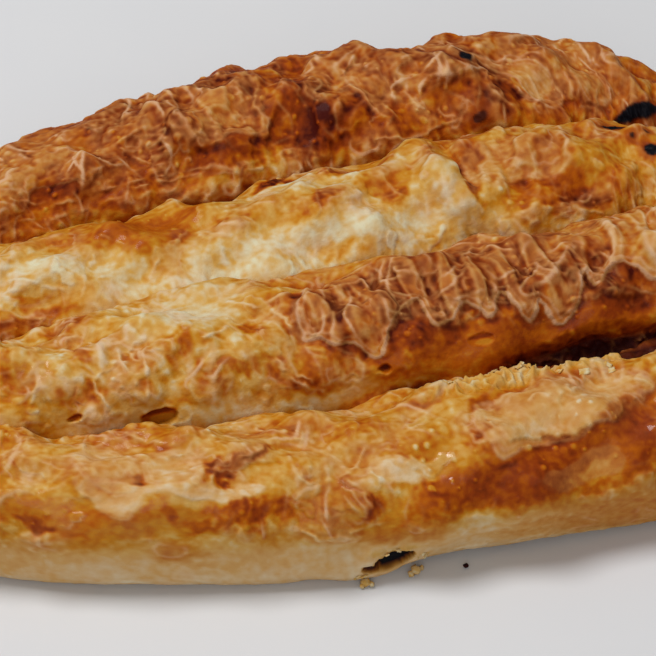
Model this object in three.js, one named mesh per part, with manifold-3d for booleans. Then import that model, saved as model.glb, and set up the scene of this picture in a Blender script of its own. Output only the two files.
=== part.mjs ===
// Rolled borek: one long rope of filled, thin-layered dough, coiled flat into an oval and baked
// until the four rows it lies in have grown together. One solid body, flat underneath.
import * as THREE from 'three';
import { mergeVertices } from 'three/addons/utils/BufferGeometryUtils.js';
import Module from 'manifold-3d';

const wasm = await Module();
wasm.setup();

// The rows of the coil from the front (0) to the back (3), in mm: where each centre line runs, and
// the rope's half width and height at its left and right end.
const ROWS = [
  { y: -59.6, halfWidth: [19.8, 22], height: [28, 30.5] },
  { y: -22.5, halfWidth: [19.8, 20.2], height: [36, 38] },
  { y: 16, halfWidth: [21.3, 20.6], height: [35.5, 35] },
  { y: 57.5, halfWidth: [20.8, 23], height: [37, 36.5] },
];

// Where the turns between the rows begin, and how far they reach lengthwise.
const INNER_TURN_X = -73;
const OUTER_TURN_X = -39;
const OUTER_TURN_REACH = 78;
const RIGHT_TURN_X = 79;
const INNER_END_X = 98;

// The oval plan: the rows close up towards both ends of the loaf, and the turns are pushed short.
const PLAN_MIDDLE_X = 58;
const PLAN_MIDDLE_Y = -2;
const PLAN_REACH = 182;
const PLAN_NARROWING = 0.26;
const TURN_SQUEEZE = 0.8;

// The outer end of the rope runs on round the right-hand turn and thins out against it.
const TAIL_ANGLE = 1.1;
const TAIL_REACH = 74;
const TAIL_START_X = 54;
const TAIL_END_SCALE = 0.16;
const INNER_END_ROUNDING = 17;

// Section of the rope, as shares of its width and height.
const BASE_HALF = 0.34;
const BELLY_HEIGHT = 0.4;
const SECTION_SEGMENTS = 5;
const SLICE_LENGTH = 4.6;

const CORE_HEIGHT = 21;
const CORE_STEPS = 18;
const EYE_RADIUS = 6;
const EYE_HEIGHT = 27;
const TURN_GAP = 0.5;
const LIFT_FROM_BASE = 1.6;
const GRID = 0.001;

// Swellings of the crust: depth, length along the rope and turns across it.
const SWELLS = [
  { depth: 0.9, length: 61, across: 0, phase: 0.6 },
  { depth: 0.8, length: 34, across: 2, phase: 2.1 },
  { depth: 0.6, length: 22, across: -3, phase: 4.0 },
];

// Folds where an outer layer of dough has slid and puckered, running slantwise over the top.
const FOLD_DEPTH = 1.5;
const FOLD_SPACING = 27;
const FOLD_SLANT = 0.55;
const FOLD_SHARPNESS = 4;

// A hole torn in the front foot of row 0, and the two largest burst bubbles on the front of row 1.
const TEAR = { x: -1, y: -77, z: 3, along: 7, across: 5, up: 5 };
const BUBBLES = [
  { x: -43, y: -37.5, z: 25.5, along: 4.6, across: 3.4, up: 3.4 },
  { x: -61, y: -34.5, z: 27.5, along: 2.2, across: 2, up: 1.8 },
];

const CRUST_COLOUR = '#b9753a';

// ---- centre line ----

const LEFT = 0;
const RIGHT = 1;
const side = (otherX, x) => (x > otherX ? RIGHT : LEFT);

// A straight row, from one end of the loaf towards the other.
function row(index, fromX, toX) {
  const from = new THREE.Vector2(fromX, ROWS[index].y);
  const curve = new THREE.LineCurve(from, new THREE.Vector2(toX, ROWS[index].y));
  return { curve, from: [index, side(toX, fromX)], to: [index, side(fromX, toX)] };
}

// A turn from one row round to another, clockwise as seen from above, at one end of the loaf.
function turn(x, from, to, options = {}) {
  const y = options.y ?? (ROWS[from].y + ROWS[to].y) / 2;
  const radius = Math.abs(ROWS[from].y - y);
  const start = ROWS[from].y > y ? Math.PI / 2 : -Math.PI / 2;
  const end = start - (options.angle ?? Math.PI);
  const curve = new THREE.EllipseCurve(x, y, options.reach ?? radius, radius, start, end, true);
  return { curve, from: [from, side(0, x)], to: [to, side(0, x)], start, end };
}

const rightTurn = turn(RIGHT_TURN_X, 2, 0);

// Stretches of the rope from its inner end outwards.
const STRETCHES = [
  row(1, INNER_END_X, INNER_TURN_X),
  turn(INNER_TURN_X, 1, 2),
  row(2, INNER_TURN_X, RIGHT_TURN_X),
  rightTurn,
  row(0, RIGHT_TURN_X, OUTER_TURN_X),
  turn(OUTER_TURN_X, 0, 3, { reach: OUTER_TURN_REACH }),
  row(3, OUTER_TURN_X, RIGHT_TURN_X),
  turn(RIGHT_TURN_X, 3, 3, { y: rightTurn.curve.aY, angle: TAIL_ANGLE, reach: TAIL_REACH }),
];

let travelled = 0;
for (const stretch of STRETCHES) {
  stretch.distance = travelled;
  stretch.length = stretch.curve.getLength();
  travelled += stretch.length;
}
const ROPE_LENGTH = travelled;
const TAIL_LENGTH = STRETCHES[7].length + RIGHT_TURN_X - TAIL_START_X;

// The direction that the rope runs in, exact at both ends of a stretch so that stretches meet.
function direction(stretch, share) {
  if (stretch.start === undefined) {
    return new THREE.Vector2(Math.sign(stretch.curve.v2.x - stretch.curve.v1.x), 0);
  }
  const angle = THREE.MathUtils.lerp(stretch.start, stretch.end, share);
  const { xRadius, yRadius } = stretch.curve;
  return new THREE.Vector2(xRadius * Math.sin(angle), -yRadius * Math.cos(angle)).normalize();
}

// ---- section ----

function sectionShape() {
  const shape = new THREE.Shape();
  shape.moveTo(-BASE_HALF, 0);
  shape.lineTo(BASE_HALF, 0);
  shape.bezierCurveTo(0.46, 0, 0.5, 0.18, 0.5, BELLY_HEIGHT);
  shape.bezierCurveTo(0.5, 0.76, 0.3, 1, 0, 1);
  shape.bezierCurveTo(-0.3, 1, -0.5, 0.76, -0.5, BELLY_HEIGHT);
  shape.bezierCurveTo(-0.5, 0.18, -0.46, 0, -BASE_HALF, 0);
  return shape;
}

// Share of full size left towards the thinning tail and the rounded inner end.
function tailScale(distance) {
  const run = Math.max(0, distance - (ROPE_LENGTH - TAIL_LENGTH)) / TAIL_LENGTH;
  return 1 - (1 - TAIL_END_SCALE) * Math.pow(run, 1.35);
}

function innerEndScale(distance) {
  const run = Math.min(1, distance / INNER_END_ROUNDING);
  return 0.25 + 0.75 * Math.sqrt(1 - (1 - run) * (1 - run));
}

function sectionAt(stretch, share) {
  const distance = stretch.distance + share * stretch.length;
  const mix = (size) => {
    const start = ROWS[stretch.from[0]][size][stretch.from[1]];
    const end = ROWS[stretch.to[0]][size][stretch.to[1]];
    return THREE.MathUtils.lerp(start, end, THREE.MathUtils.smoothstep(share, 0, 1));
  };
  const scale = tailScale(distance);
  const endScale = innerEndScale(distance);
  return {
    distance,
    halfWidth: mix('halfWidth') * scale * endScale,
    shift: mix('halfWidth') * (1 - scale),
    height: mix('height') * (0.25 + 0.75 * scale) * (0.5 + 0.5 * endScale),
  };
}

// Height of the swellings and folds over the smooth rope, for a place along and around it.
function crust(distance, across) {
  let lift = 0;
  for (const swell of SWELLS) {
    const wave = (2 * Math.PI * distance) / swell.length + swell.across * across * Math.PI;
    lift += swell.depth * Math.sin(wave + swell.phase);
  }
  const fold = distance / FOLD_SPACING + FOLD_SLANT * across + 0.35 * Math.sin(distance / 41);
  return lift + FOLD_DEPTH * Math.pow(Math.abs(Math.cos(Math.PI * fold)), FOLD_SHARPNESS);
}

// Squeezes a place in the coil's plan into the oval of the loaf.
function ovalPlan(x, y) {
  const off = Math.min(1, Math.abs(x - PLAN_MIDDLE_X) / PLAN_REACH);
  const narrowing = PLAN_NARROWING * THREE.MathUtils.smootherstep(off, 0, 1);
  const past = Math.max(0, x - RIGHT_TURN_X) + Math.min(0, x - INNER_TURN_X);
  return {
    x: x - past * (1 - TURN_SQUEEZE),
    y: PLAN_MIDDLE_Y + (y - PLAN_MIDDLE_Y) * (1 - narrowing),
  };
}

const snapped = (value) => Math.round(value / GRID) * GRID;

// ---- solids ----

function toManifold(geometry) {
  geometry.deleteAttribute('normal');
  geometry.deleteAttribute('uv');
  const merged = mergeVertices(geometry, 1e-4);
  const mesh = new wasm.Mesh({
    numProp: 3,
    vertProperties: new Float32Array(merged.attributes.position.array),
    triVerts: new Uint32Array(merged.index.array),
  });
  return new wasm.Manifold(mesh);
}

// A straight extrusion of the section, laid along its stretch of the coil slice by slice.
function stretchSolid(stretch) {
  const steps = Math.round(stretch.length / SLICE_LENGTH);
  const geometry = new THREE.ExtrudeGeometry(sectionShape(), {
    depth: 1, steps, curveSegments: SECTION_SEGMENTS, bevelEnabled: false,
  });
  const innerRoom = stretch.curve.yRadius ? stretch.curve.yRadius - TURN_GAP : Infinity;
  const places = geometry.attributes.position;
  for (let i = 0; i < places.count; i += 1) {
    const share = places.getZ(i);
    const across = places.getX(i) * 2;
    const up = places.getY(i);
    const centre = stretch.curve.getPoint(share);
    const along = direction(stretch, share);
    const section = sectionAt(stretch, share);
    const lift = crust(section.distance, across) * Math.min(1, up * LIFT_FROM_BASE);
    const reach = (section.halfWidth + lift / 2) * across - section.shift;
    const sideways = Math.max(reach, -innerRoom);
    const plan = ovalPlan(centre.x - along.y * sideways, centre.y + along.x * sideways);
    places.setXYZ(i, snapped(plan.x), snapped(plan.y), snapped((section.height + lift) * up));
  }
  return toManifold(geometry);
}

// The rows have baked together low down: a core fills the coil inside its outermost centre line.
function core() {
  const loop = [];
  for (const stretch of STRETCHES.slice(3, 7)) {
    for (const point of stretch.curve.getSpacedPoints(CORE_STEPS).slice(0, -1)) {
      const plan = ovalPlan(point.x, point.y);
      loop.push(new THREE.Vector2(plan.x, plan.y));
    }
  }
  const outline = new THREE.Shape(loop);
  return toManifold(new THREE.ExtrudeGeometry(outline, { depth: CORE_HEIGHT, bevelEnabled: false }));
}

// The eye of the inner turn, where the rope is bent so tightly that its inner side closes up.
function eye() {
  const plug = new THREE.CylinderGeometry(EYE_RADIUS / 2, EYE_RADIUS, EYE_HEIGHT, 12);
  plug.rotateX(Math.PI / 2);
  const plan = ovalPlan(INNER_TURN_X, (ROWS[1].y + ROWS[2].y) / 2);
  plug.translate(plan.x, plan.y, EYE_HEIGHT / 2);
  return toManifold(plug);
}

function hollow(size) {
  const ball = new THREE.SphereGeometry(1, 12, 8);
  ball.rotateX(Math.PI / 2);
  ball.scale(size.along, size.across, size.up);
  ball.translate(size.x, size.y, size.z);
  return toManifold(ball);
}

let body = core().add(eye());
for (const stretch of STRETCHES) {
  body = body.add(stretchSolid(stretch));
}
for (const size of [TEAR, ...BUBBLES]) {
  body = body.subtract(hollow(size));
}

const solid = body.getMesh();
const geometry = new THREE.BufferGeometry();
geometry.setAttribute('position', new THREE.BufferAttribute(solid.vertProperties, 3));
geometry.setIndex(new THREE.BufferAttribute(solid.triVerts, 1));
geometry.computeBoundingBox();
const middle = geometry.boundingBox.getCenter(new THREE.Vector3());
geometry.translate(-middle.x, -middle.y, -geometry.boundingBox.min.z);
geometry.computeVertexNormals();

const crustMaterial = new THREE.MeshStandardMaterial({
  color: CRUST_COLOUR, roughness: 0.5, metalness: 0,
});
const borek = new THREE.Mesh(geometry, crustMaterial);
borek.name = 'borek';

const group = new THREE.Group();
group.name = 'rolled_borek';
group.add(borek);

export default group;
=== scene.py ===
import functools
import itertools
import math
import random
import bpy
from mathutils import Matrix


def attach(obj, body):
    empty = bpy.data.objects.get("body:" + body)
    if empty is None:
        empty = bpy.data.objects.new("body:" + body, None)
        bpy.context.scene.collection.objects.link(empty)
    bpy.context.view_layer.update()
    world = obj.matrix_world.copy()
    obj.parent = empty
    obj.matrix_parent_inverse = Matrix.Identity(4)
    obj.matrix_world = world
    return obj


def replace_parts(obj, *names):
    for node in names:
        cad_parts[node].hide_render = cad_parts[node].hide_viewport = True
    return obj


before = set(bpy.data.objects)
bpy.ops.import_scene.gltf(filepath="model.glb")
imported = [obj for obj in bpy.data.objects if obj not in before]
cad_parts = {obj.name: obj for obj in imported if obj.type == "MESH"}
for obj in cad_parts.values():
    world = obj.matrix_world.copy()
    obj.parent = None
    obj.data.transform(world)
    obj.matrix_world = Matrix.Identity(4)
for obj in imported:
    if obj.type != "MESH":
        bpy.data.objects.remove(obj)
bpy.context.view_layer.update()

from types import SimpleNamespace

import bmesh
import bpy
import numpy as np
from bpy.props import FloatProperty, FloatVectorProperty, PointerProperty
from mathutils import Euler, Matrix, Vector

bl_info = {
    "name": "Rolled borek",
    "version": (1, 1, 0),
    "blender": (4, 5, 0),
    "location": "View3D > Sidebar > Borek",
    "description": "Bakes the crust, slack dough film, flakes and burnt spots of a coiled borek",
    "category": "Object",
}

MM = 0.001

# ---------------------------------------------------------------- sizes of the coil, in mm

# Rows from the front (0) to the back (3): centre line, and half width and height at the left and
# right end of each. They are the sizes of the solid that this loaf dresses.
ROWS = (
    {"y": -59.6, "half_width": (19.8, 22.0), "height": (28.0, 30.5)},
    {"y": -22.5, "half_width": (19.8, 20.2), "height": (36.0, 38.0)},
    {"y": 16.0, "half_width": (21.3, 20.6), "height": (35.5, 35.0)},
    {"y": 57.5, "half_width": (20.8, 23.0), "height": (37.0, 36.5)},
)
LEFT, RIGHT = 0, 1

INNER_TURN_X = -73.0
OUTER_TURN_X = -39.0
OUTER_TURN_REACH = 78.0
RIGHT_TURN_X = 79.0
INNER_END_X = 98.0
INNER_END_ROUNDING = 17.0

PLAN_MIDDLE_X = 58.0
PLAN_MIDDLE_Y = -2.0
PLAN_REACH = 182.0
PLAN_NARROWING = 0.26
TURN_SQUEEZE = 0.8
BOX_MIDDLE = (1.09, -0.80)

TAIL_ANGLE = 1.1
TAIL_REACH = 74.0
TAIL_START_X = 54.0
TAIL_END_SCALE = 0.16
TAIL_TAPER = 1.35

# Share of its full size that the rope has left at an end.
TAIL_END_HEIGHT = 0.25
INNER_END_WIDTH = 0.25
INNER_END_HEIGHT = 0.5

# Section of the rope as shares of its width and height: half of the flat base, the belly and the
# round top, one Bezier curve each.
BASE_HALF = 0.34
BELLY = ((BASE_HALF, 0.0), (0.46, 0.0), (0.5, 0.18), (0.5, 0.4))
CROWN = ((0.5, 0.4), (0.5, 0.76), (0.3, 1.0), (0.0, 1.0))
LIFT_FROM_BASE = 1.6
TURN_GAP = 0.5

# Slow swellings of the rope: depth, length along the rope, turns across it and phase.
SWELLS = ((0.9, 61.0, 0, 0.6), (0.8, 34.0, 2, 2.1), (0.6, 22.0, -3, 4.0))
FOLD_DEPTH = 1.5
FOLD_SPACING = 27.0
FOLD_SLANT = 0.55
FOLD_SHARPNESS = 4
FOLD_WANDER = 0.35
FOLD_WANDER_LENGTH = 41.0


def lerp(a, b, share):
    return a + (b - a) * share


def smoother(share):
    return share ** 3 * (share * (share * 6.0 - 15.0) + 10.0)


def ease(low, high, values):
    """Smooth step from 0 at `low` to 1 at `high`, on arrays."""
    share = np.clip((values - low) / (high - low), 0.0, 1.0)
    return share * share * (3.0 - 2.0 * share)


# ---------------------------------------------------------------- centre line of the coil

def row(index, x0, x1):
    """A straight row, from one end of the loaf towards the other."""
    ends = (RIGHT, LEFT) if x0 > x1 else (LEFT, RIGHT)
    way = -1.0 if x0 > x1 else 1.0
    y = ROWS[index]["y"]
    return {
        "length": abs(x1 - x0),
        "at": lambda share: (lerp(x0, x1, share), y, way, 0.0),
        "from": (index, ends[0]),
        "to": (index, ends[1]),
        "room": math.inf,
    }


# Straight steps that a turn's length is added up from.
TURN_STEPS = 200


def turn(x, first, last, side, y=None, reach=None, angle=math.pi):
    """A turn from one row round to another, clockwise as seen from above."""
    if y is None:
        y = (ROWS[first]["y"] + ROWS[last]["y"]) / 2
    radius = abs(ROWS[first]["y"] - y)
    reach = reach or radius
    start = math.pi / 2 if ROWS[first]["y"] > y else -math.pi / 2

    def at(share):
        here = start - angle * share
        dx = reach * math.sin(here)
        dy = -radius * math.cos(here)
        size = math.hypot(dx, dy)
        return (x + reach * math.cos(here), y + radius * math.sin(here), dx / size, dy / size)

    steps = [at(i / TURN_STEPS) for i in range(TURN_STEPS + 1)]
    length = sum(math.dist(a[:2], b[:2]) for a, b in zip(steps, steps[1:]))
    return {"length": length, "at": at, "from": (first, side), "to": (last, side),
            "room": radius - TURN_GAP}


RIGHT_TURN_Y = (ROWS[0]["y"] + ROWS[2]["y"]) / 2
STRETCHES = (
    row(1, INNER_END_X, INNER_TURN_X),
    turn(INNER_TURN_X, 1, 2, LEFT),
    row(2, INNER_TURN_X, RIGHT_TURN_X),
    turn(RIGHT_TURN_X, 2, 0, RIGHT),
    row(0, RIGHT_TURN_X, OUTER_TURN_X),
    turn(OUTER_TURN_X, 0, 3, LEFT, reach=OUTER_TURN_REACH),
    row(3, OUTER_TURN_X, RIGHT_TURN_X),
    turn(RIGHT_TURN_X, 3, 3, RIGHT, y=RIGHT_TURN_Y, reach=TAIL_REACH, angle=TAIL_ANGLE),
)
*STARTS, ROPE_LENGTH = itertools.accumulate((s["length"] for s in STRETCHES), initial=0.0)
TAIL_LENGTH = STRETCHES[-1]["length"] + RIGHT_TURN_X - TAIL_START_X


def station(distance):
    """Where the rope runs at a distance from its inner end, and the size of its section there."""
    index = max(i for i, start in enumerate(STARTS) if distance >= start - 1e-9)
    stretch = STRETCHES[index]
    share = min(1.0, (distance - STARTS[index]) / stretch["length"])
    x, y, dx, dy = stretch["at"](share)
    blend = share * share * (3 - 2 * share)

    def mix(size):
        first, last = stretch["from"], stretch["to"]
        return lerp(ROWS[first[0]][size][first[1]], ROWS[last[0]][size][last[1]], blend)

    run = max(0.0, distance - (ROPE_LENGTH - TAIL_LENGTH)) / TAIL_LENGTH
    tail = 1 - (1 - TAIL_END_SCALE) * run ** TAIL_TAPER
    end = 1 - min(1.0, distance / INNER_END_ROUNDING)
    end = lerp(INNER_END_WIDTH, 1, math.sqrt(1 - end * end))
    return {
        "distance": distance, "x": x, "y": y, "dx": dx, "dy": dy, "room": stretch["room"],
        "half_width": mix("half_width") * tail * end,
        "shift": mix("half_width") * (1 - tail),
        "height": mix("height") * lerp(TAIL_END_HEIGHT, 1, tail) * lerp(INNER_END_HEIGHT, 1, end),
    }


def oval_plan(x, y):
    """Squeezes places in the coil's plan into the oval of the loaf."""
    off = np.minimum(1.0, np.abs(x - PLAN_MIDDLE_X) / PLAN_REACH)
    past = np.maximum(0.0, x - RIGHT_TURN_X) + np.minimum(0.0, x - INNER_TURN_X)
    narrowing = PLAN_NARROWING * smoother(off)
    return (x - past * (1 - TURN_SQUEEZE) - BOX_MIDDLE[0],
            PLAN_MIDDLE_Y + (y - PLAN_MIDDLE_Y) * (1 - narrowing) - BOX_MIDDLE[1])


def swelling(distance, across):
    """Height of the slow swellings and folds over the smooth rope."""
    lift = 0.0
    for depth, length, turns, phase in SWELLS:
        lift = lift + depth * np.sin(2 * np.pi * distance / length + turns * across * np.pi + phase)
    fold = distance / FOLD_SPACING + FOLD_SLANT * across
    fold = fold + FOLD_WANDER * np.sin(distance / FOLD_WANDER_LENGTH)
    return lift + FOLD_DEPTH * np.abs(np.cos(np.pi * fold)) ** FOLD_SHARPNESS


# ---------------------------------------------------------------- section of the rope

# Steps over half of the section, and mm between stations in the rows and in the turns.
BASE_STEPS = 5
BELLY_STEPS = 24
CROWN_STEPS = 112
ROW_STEP = 0.34
TURN_STEP = 0.6


def bezier(points, share):
    """A place on a cubic Bezier curve."""
    rest = 1 - share
    weights = (rest ** 3, 3 * rest * rest * share, 3 * rest * share * share, share ** 3)
    return tuple(sum(w * p[i] for w, p in zip(weights, points)) for i in (0, 1))


def full_section():
    """The closed section, once round, its first and last place both at the base's middle."""
    half = [(BASE_HALF * i / BASE_STEPS, 0.0) for i in range(BASE_STEPS)]
    half += [bezier(BELLY, i / BELLY_STEPS) for i in range(BELLY_STEPS)]
    half += [bezier(CROWN, i / CROWN_STEPS) for i in range(CROWN_STEPS)]
    return np.array(half + [(0.0, 1.0)] + [(-x, z) for x, z in reversed(half)])


# Distances along the rope, in mm, where one length ends and the next begins.
ROW_MIDDLES = [(STARTS[i] + STARTS[i + 1]) / 2 for i in (0, 2)]
CUTS = (0.0, ROW_MIDDLES[0], STARTS[1], STARTS[2], ROW_MIDDLES[1], STARTS[3], STARTS[4],
        STARTS[4] + 80.0, STARTS[5] + 40.0, STARTS[6] - 40.0, STARTS[6] + 40.0, STARTS[7], ROPE_LENGTH)
STEPS = (ROW_STEP, ROW_STEP, TURN_STEP, ROW_STEP, ROW_STEP, TURN_STEP, ROW_STEP, ROW_STEP, TURN_STEP,
         ROW_STEP, ROW_STEP, TURN_STEP)


def stations():
    """Stations down the whole rope, close together where it shows and wider in the turns."""
    found = []
    for low, high, step in zip(CUTS, CUTS[1:], STEPS):
        count = max(1, round((high - low) / step))
        found += [station(lerp(low, high, i / count)) for i in range(count)]
    return found + [station(ROPE_LENGTH)]


def smooth_rope(rings, section):
    """Places on the smooth rope in mm, and how far each lies round from the top of its section."""
    here = {key: np.array([ring[key] for ring in rings])[:, None] for key in rings[0]}
    across, up = section[:, 0] * 2, section[:, 1]
    swell = swelling(here["distance"], across) * np.minimum(1.0, up * LIFT_FROM_BASE)
    reach = (here["half_width"] + swell / 2) * across - here["shift"]
    sideways = np.maximum(reach, -here["room"])
    x, y = oval_plan(here["x"] - here["dy"] * sideways, here["y"] + here["dx"] * sideways)
    places = np.stack([x, y, (here["height"] + swell) * up], axis=2)
    flat = np.hypot(np.diff(here["half_width"] * across, axis=1),
                    np.diff(here["height"] * up, axis=1))
    arc = np.concatenate([np.zeros((len(rings), 1)), np.cumsum(flat, axis=1)], axis=1)
    top = len(section) // 2
    return places, arc[:, top:top + 1] - arc


def directions(places):
    """Unit directions along and round the rope, and outwards from it, at each place."""
    along = np.gradient(places, axis=0)
    around = -np.gradient(places, axis=1)
    out = np.cross(along, around)
    return [v / (np.linalg.norm(v, axis=2, keepdims=True) + 1e-9) for v in (along, around, out)]


# ---------------------------------------------------------------- cells of the unrolled dough

# The outer dough is worked on unrolled: `ALONG` runs down the rope from its inner end and `AROUND`
# from its top, towards the left of the way that the rope runs. Both are in mm.
CELL = 0.36
HALF_SPAN = 44.64
# Both counts are a multiple of this, plus one, so that cells this many times as wide can be halved.
COARSEST = 4
COLUMNS = int(ROPE_LENGTH / (COARSEST * CELL) + 1) * COARSEST + 1
LINES = int(2 * HALF_SPAN / (COARSEST * CELL)) * COARSEST + 1
ALONG, AROUND = np.meshgrid(np.arange(COLUMNS) * CELL, np.arange(LINES) * CELL - HALF_SPAN,
                            indexing="ij")


# ---------------------------------------------------------------- noise

# Large odd numbers that mix a cell's column, line and seed into 32 bits.
COLUMN_FACTOR, LINE_FACTOR, SEED_FACTOR, LAST_FACTOR = 374761393, 668265263, 974634777, 1274126177
WHOLE_KEY, HALF_KEY = 0xFFFFFFFF, 0xFFFF
# Brings the noise near the range from -1 to 1.
NOISE_GAIN = 1.5
# The least slope that a field is taken to have, per mm, so that level parts give no endless widths.
LEAST_SLOPE = 0.02


def shuffled(column, line, seed):
    """A number from 0 to 1 for each whole column and line, the same on every run."""
    key = (column.astype(np.int64) * COLUMN_FACTOR + line.astype(np.int64) * LINE_FACTOR
           + seed * SEED_FACTOR) & WHOLE_KEY
    key = ((key ^ (key >> 13)) * LAST_FACTOR) & WHOLE_KEY
    return ((key ^ (key >> 16)) & HALF_KEY) / (HALF_KEY + 1)


def perlin(x, y, seed):
    """Gradient noise between about -1 and 1."""
    column, line = np.floor(x), np.floor(y)
    fx, fy = x - column, y - line
    u, v = smoother(fx), smoother(fy)

    def corner(dx, dy):
        angle = 2 * np.pi * shuffled(column + dx, line + dy, seed)
        return np.cos(angle) * (fx - dx) + np.sin(angle) * (fy - dy)

    near = corner(0, 0) * (1 - u) + corner(1, 0) * u
    far = corner(0, 1) * (1 - u) + corner(1, 1) * u
    return NOISE_GAIN * (near * (1 - v) + far * v)


def clouds(size, seed, octaves=3, stretch=1.0, swirl=0.0, way=0.0):
    """Layered noise over the unrolled dough, its largest lumps about `size` mm, as an array.

    The lumps are `stretch` times as long along `way`, in degrees from the rope's own way.
    """
    total, weight = 0.0, 1.0
    along, around = ALONG, AROUND
    if swirl:
        along, around = ALONG + swirl * RAGGED_X, AROUND + swirl * RAGGED_Y
    if way:
        c, s = math.cos(math.radians(way)), math.sin(math.radians(way))
        along, around = along * c + around * s, around * c - along * s
    for octave in range(octaves):
        scale = 2 ** octave / size
        total = total + weight * perlin(along * scale / stretch, around * scale, seed + octave)
        weight *= 0.5
    return total / (2 - 2 * weight)


def dots(spacing, seed, least, most):
    """Round spots, one to a square of `spacing` mm, from `least` to `most` mm in radius."""
    x, y = ALONG / spacing, AROUND / spacing
    column, line = np.floor(x), np.floor(y)
    found = np.zeros_like(x)
    for dx in (-1, 0, 1):
        for dy in (-1, 0, 1):
            there = (column + dx, line + dy)
            gap = np.hypot(x - there[0] - shuffled(*there, seed),
                           y - there[1] - shuffled(*there, seed + 1))
            radius = (least + (most - least) * shuffled(*there, seed + 2) ** 2) / spacing
            found = np.maximum(found, ease(1.25, 0.6, gap / radius))
    return found


def outline(field, level, width):
    """Thin lines, `width` mm wide to each side, where a field over the dough passes a level."""
    slope = np.hypot(*np.gradient(field, CELL)) + LEAST_SLOPE
    return ease(width, 0.25 * width, np.abs(field - level) / slope)


# ---------------------------------------------------------------- unrolled dough

# Row: distance along the rope where X is 0, the way it runs along X, and the way round its front is.
ROW_ORIGINS = (
    (STARTS[4] + RIGHT_TURN_X, -1, 1),
    (STARTS[0] + INNER_END_X, -1, 1),
    (STARTS[2] - INNER_TURN_X, 1, -1),
    (STARTS[6] - OUTER_TURN_X, 1, -1),
)

# Browned and torn dough has ragged edges: places are shifted by this before a patch is measured.
RAGGED_X = 2.2 * clouds(9.0, 301) + 0.9 * clouds(2.6, 311)
RAGGED_Y = 2.2 * clouds(9.0, 321) + 0.9 * clouds(2.6, 331)


def window(row, x, reach):
    """The columns within reach of an X on a row."""
    origin, way, _ = ROW_ORIGINS[row]
    middle = origin + way * (x + BOX_MIDDLE[0])
    return slice(max(0, int((middle - reach) / CELL)), min(COLUMNS, int((middle + reach) / CELL) + 1))


def on_row(columns, row, x, down, ragged):
    """Mm along X and down the row's front from a place on the row, shifted for ragged edges."""
    origin, way, front = ROW_ORIGINS[row]
    dx = (ALONG[columns] - origin - BOX_MIDDLE[0] * way) * way - x + RAGGED_X[columns] * ragged
    dy = AROUND[columns] * front - down + RAGGED_Y[columns] * ragged
    return dx, dy


def patch(row, x, down, half_x, half_down, turned, ragged, edge):
    """A window of columns, and how far each of its cells is inside a ragged oval on a row."""
    columns = window(row, x, (half_x + half_down) * (1 + edge / 2) + 4 * ragged)
    dx, dy = on_row(columns, row, x, down, ragged)
    c, s = math.cos(math.radians(turned)), math.sin(math.radians(turned))
    reach = np.hypot((dx * c + dy * s) / half_x, (dy * c - dx * s) / half_down)
    return columns, ease(1 + edge / 2, 1 - edge / 2, reach)


CURVE_STEPS = 4


def smooth_line(points, closed):
    """Points along a smooth curve through a few places."""
    ring = (points[-1], *points, *points[:2]) if closed else (points[0], *points, points[-1])
    found = []
    for places in zip(ring, ring[1:], ring[2:], ring[3:]):
        for share in np.arange(CURVE_STEPS) / CURVE_STEPS:
            weights = (-share + 2 * share ** 2 - share ** 3, 2 - 5 * share ** 2 + 3 * share ** 3,
                       share + 4 * share ** 2 - 3 * share ** 3, share ** 3 - share ** 2)
            found.append(tuple(sum(w * p[i] for w, p in zip(weights, places)) / 2 for i in (0, 1)))
    return found if closed else found + [points[-1]]


def line_gap(row, points, closed=False, ragged=0.4):
    """A window of columns, and how many mm its cells are from a line, or below 0 inside it."""
    line = smooth_line(points, closed)
    low, high = min(x for x, _ in line), max(x for x, _ in line)
    columns = window(row, (low + high) / 2, (high - low) / 2 + 4)
    x, y = on_row(columns, row, 0, 0, ragged)
    gap, inside = np.full(x.shape, 1e3), np.zeros(x.shape, bool)
    for (ax, ay), (bx, by) in zip(line, line[1:] + line[:1] if closed else line[1:]):
        dx, dy = bx - ax, by - ay
        share = np.clip(((x - ax) * dx + (y - ay) * dy) / (dx * dx + dy * dy), 0, 1)
        gap = np.minimum(gap, np.hypot(x - ax - share * dx, y - ay - share * dy))
        if closed:
            inside ^= ((ay > y) != (by > y)) & (x < dx * (y - ay) / (dy + 1e-9) + ax)
    return columns, np.where(inside, -gap, gap)


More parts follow.
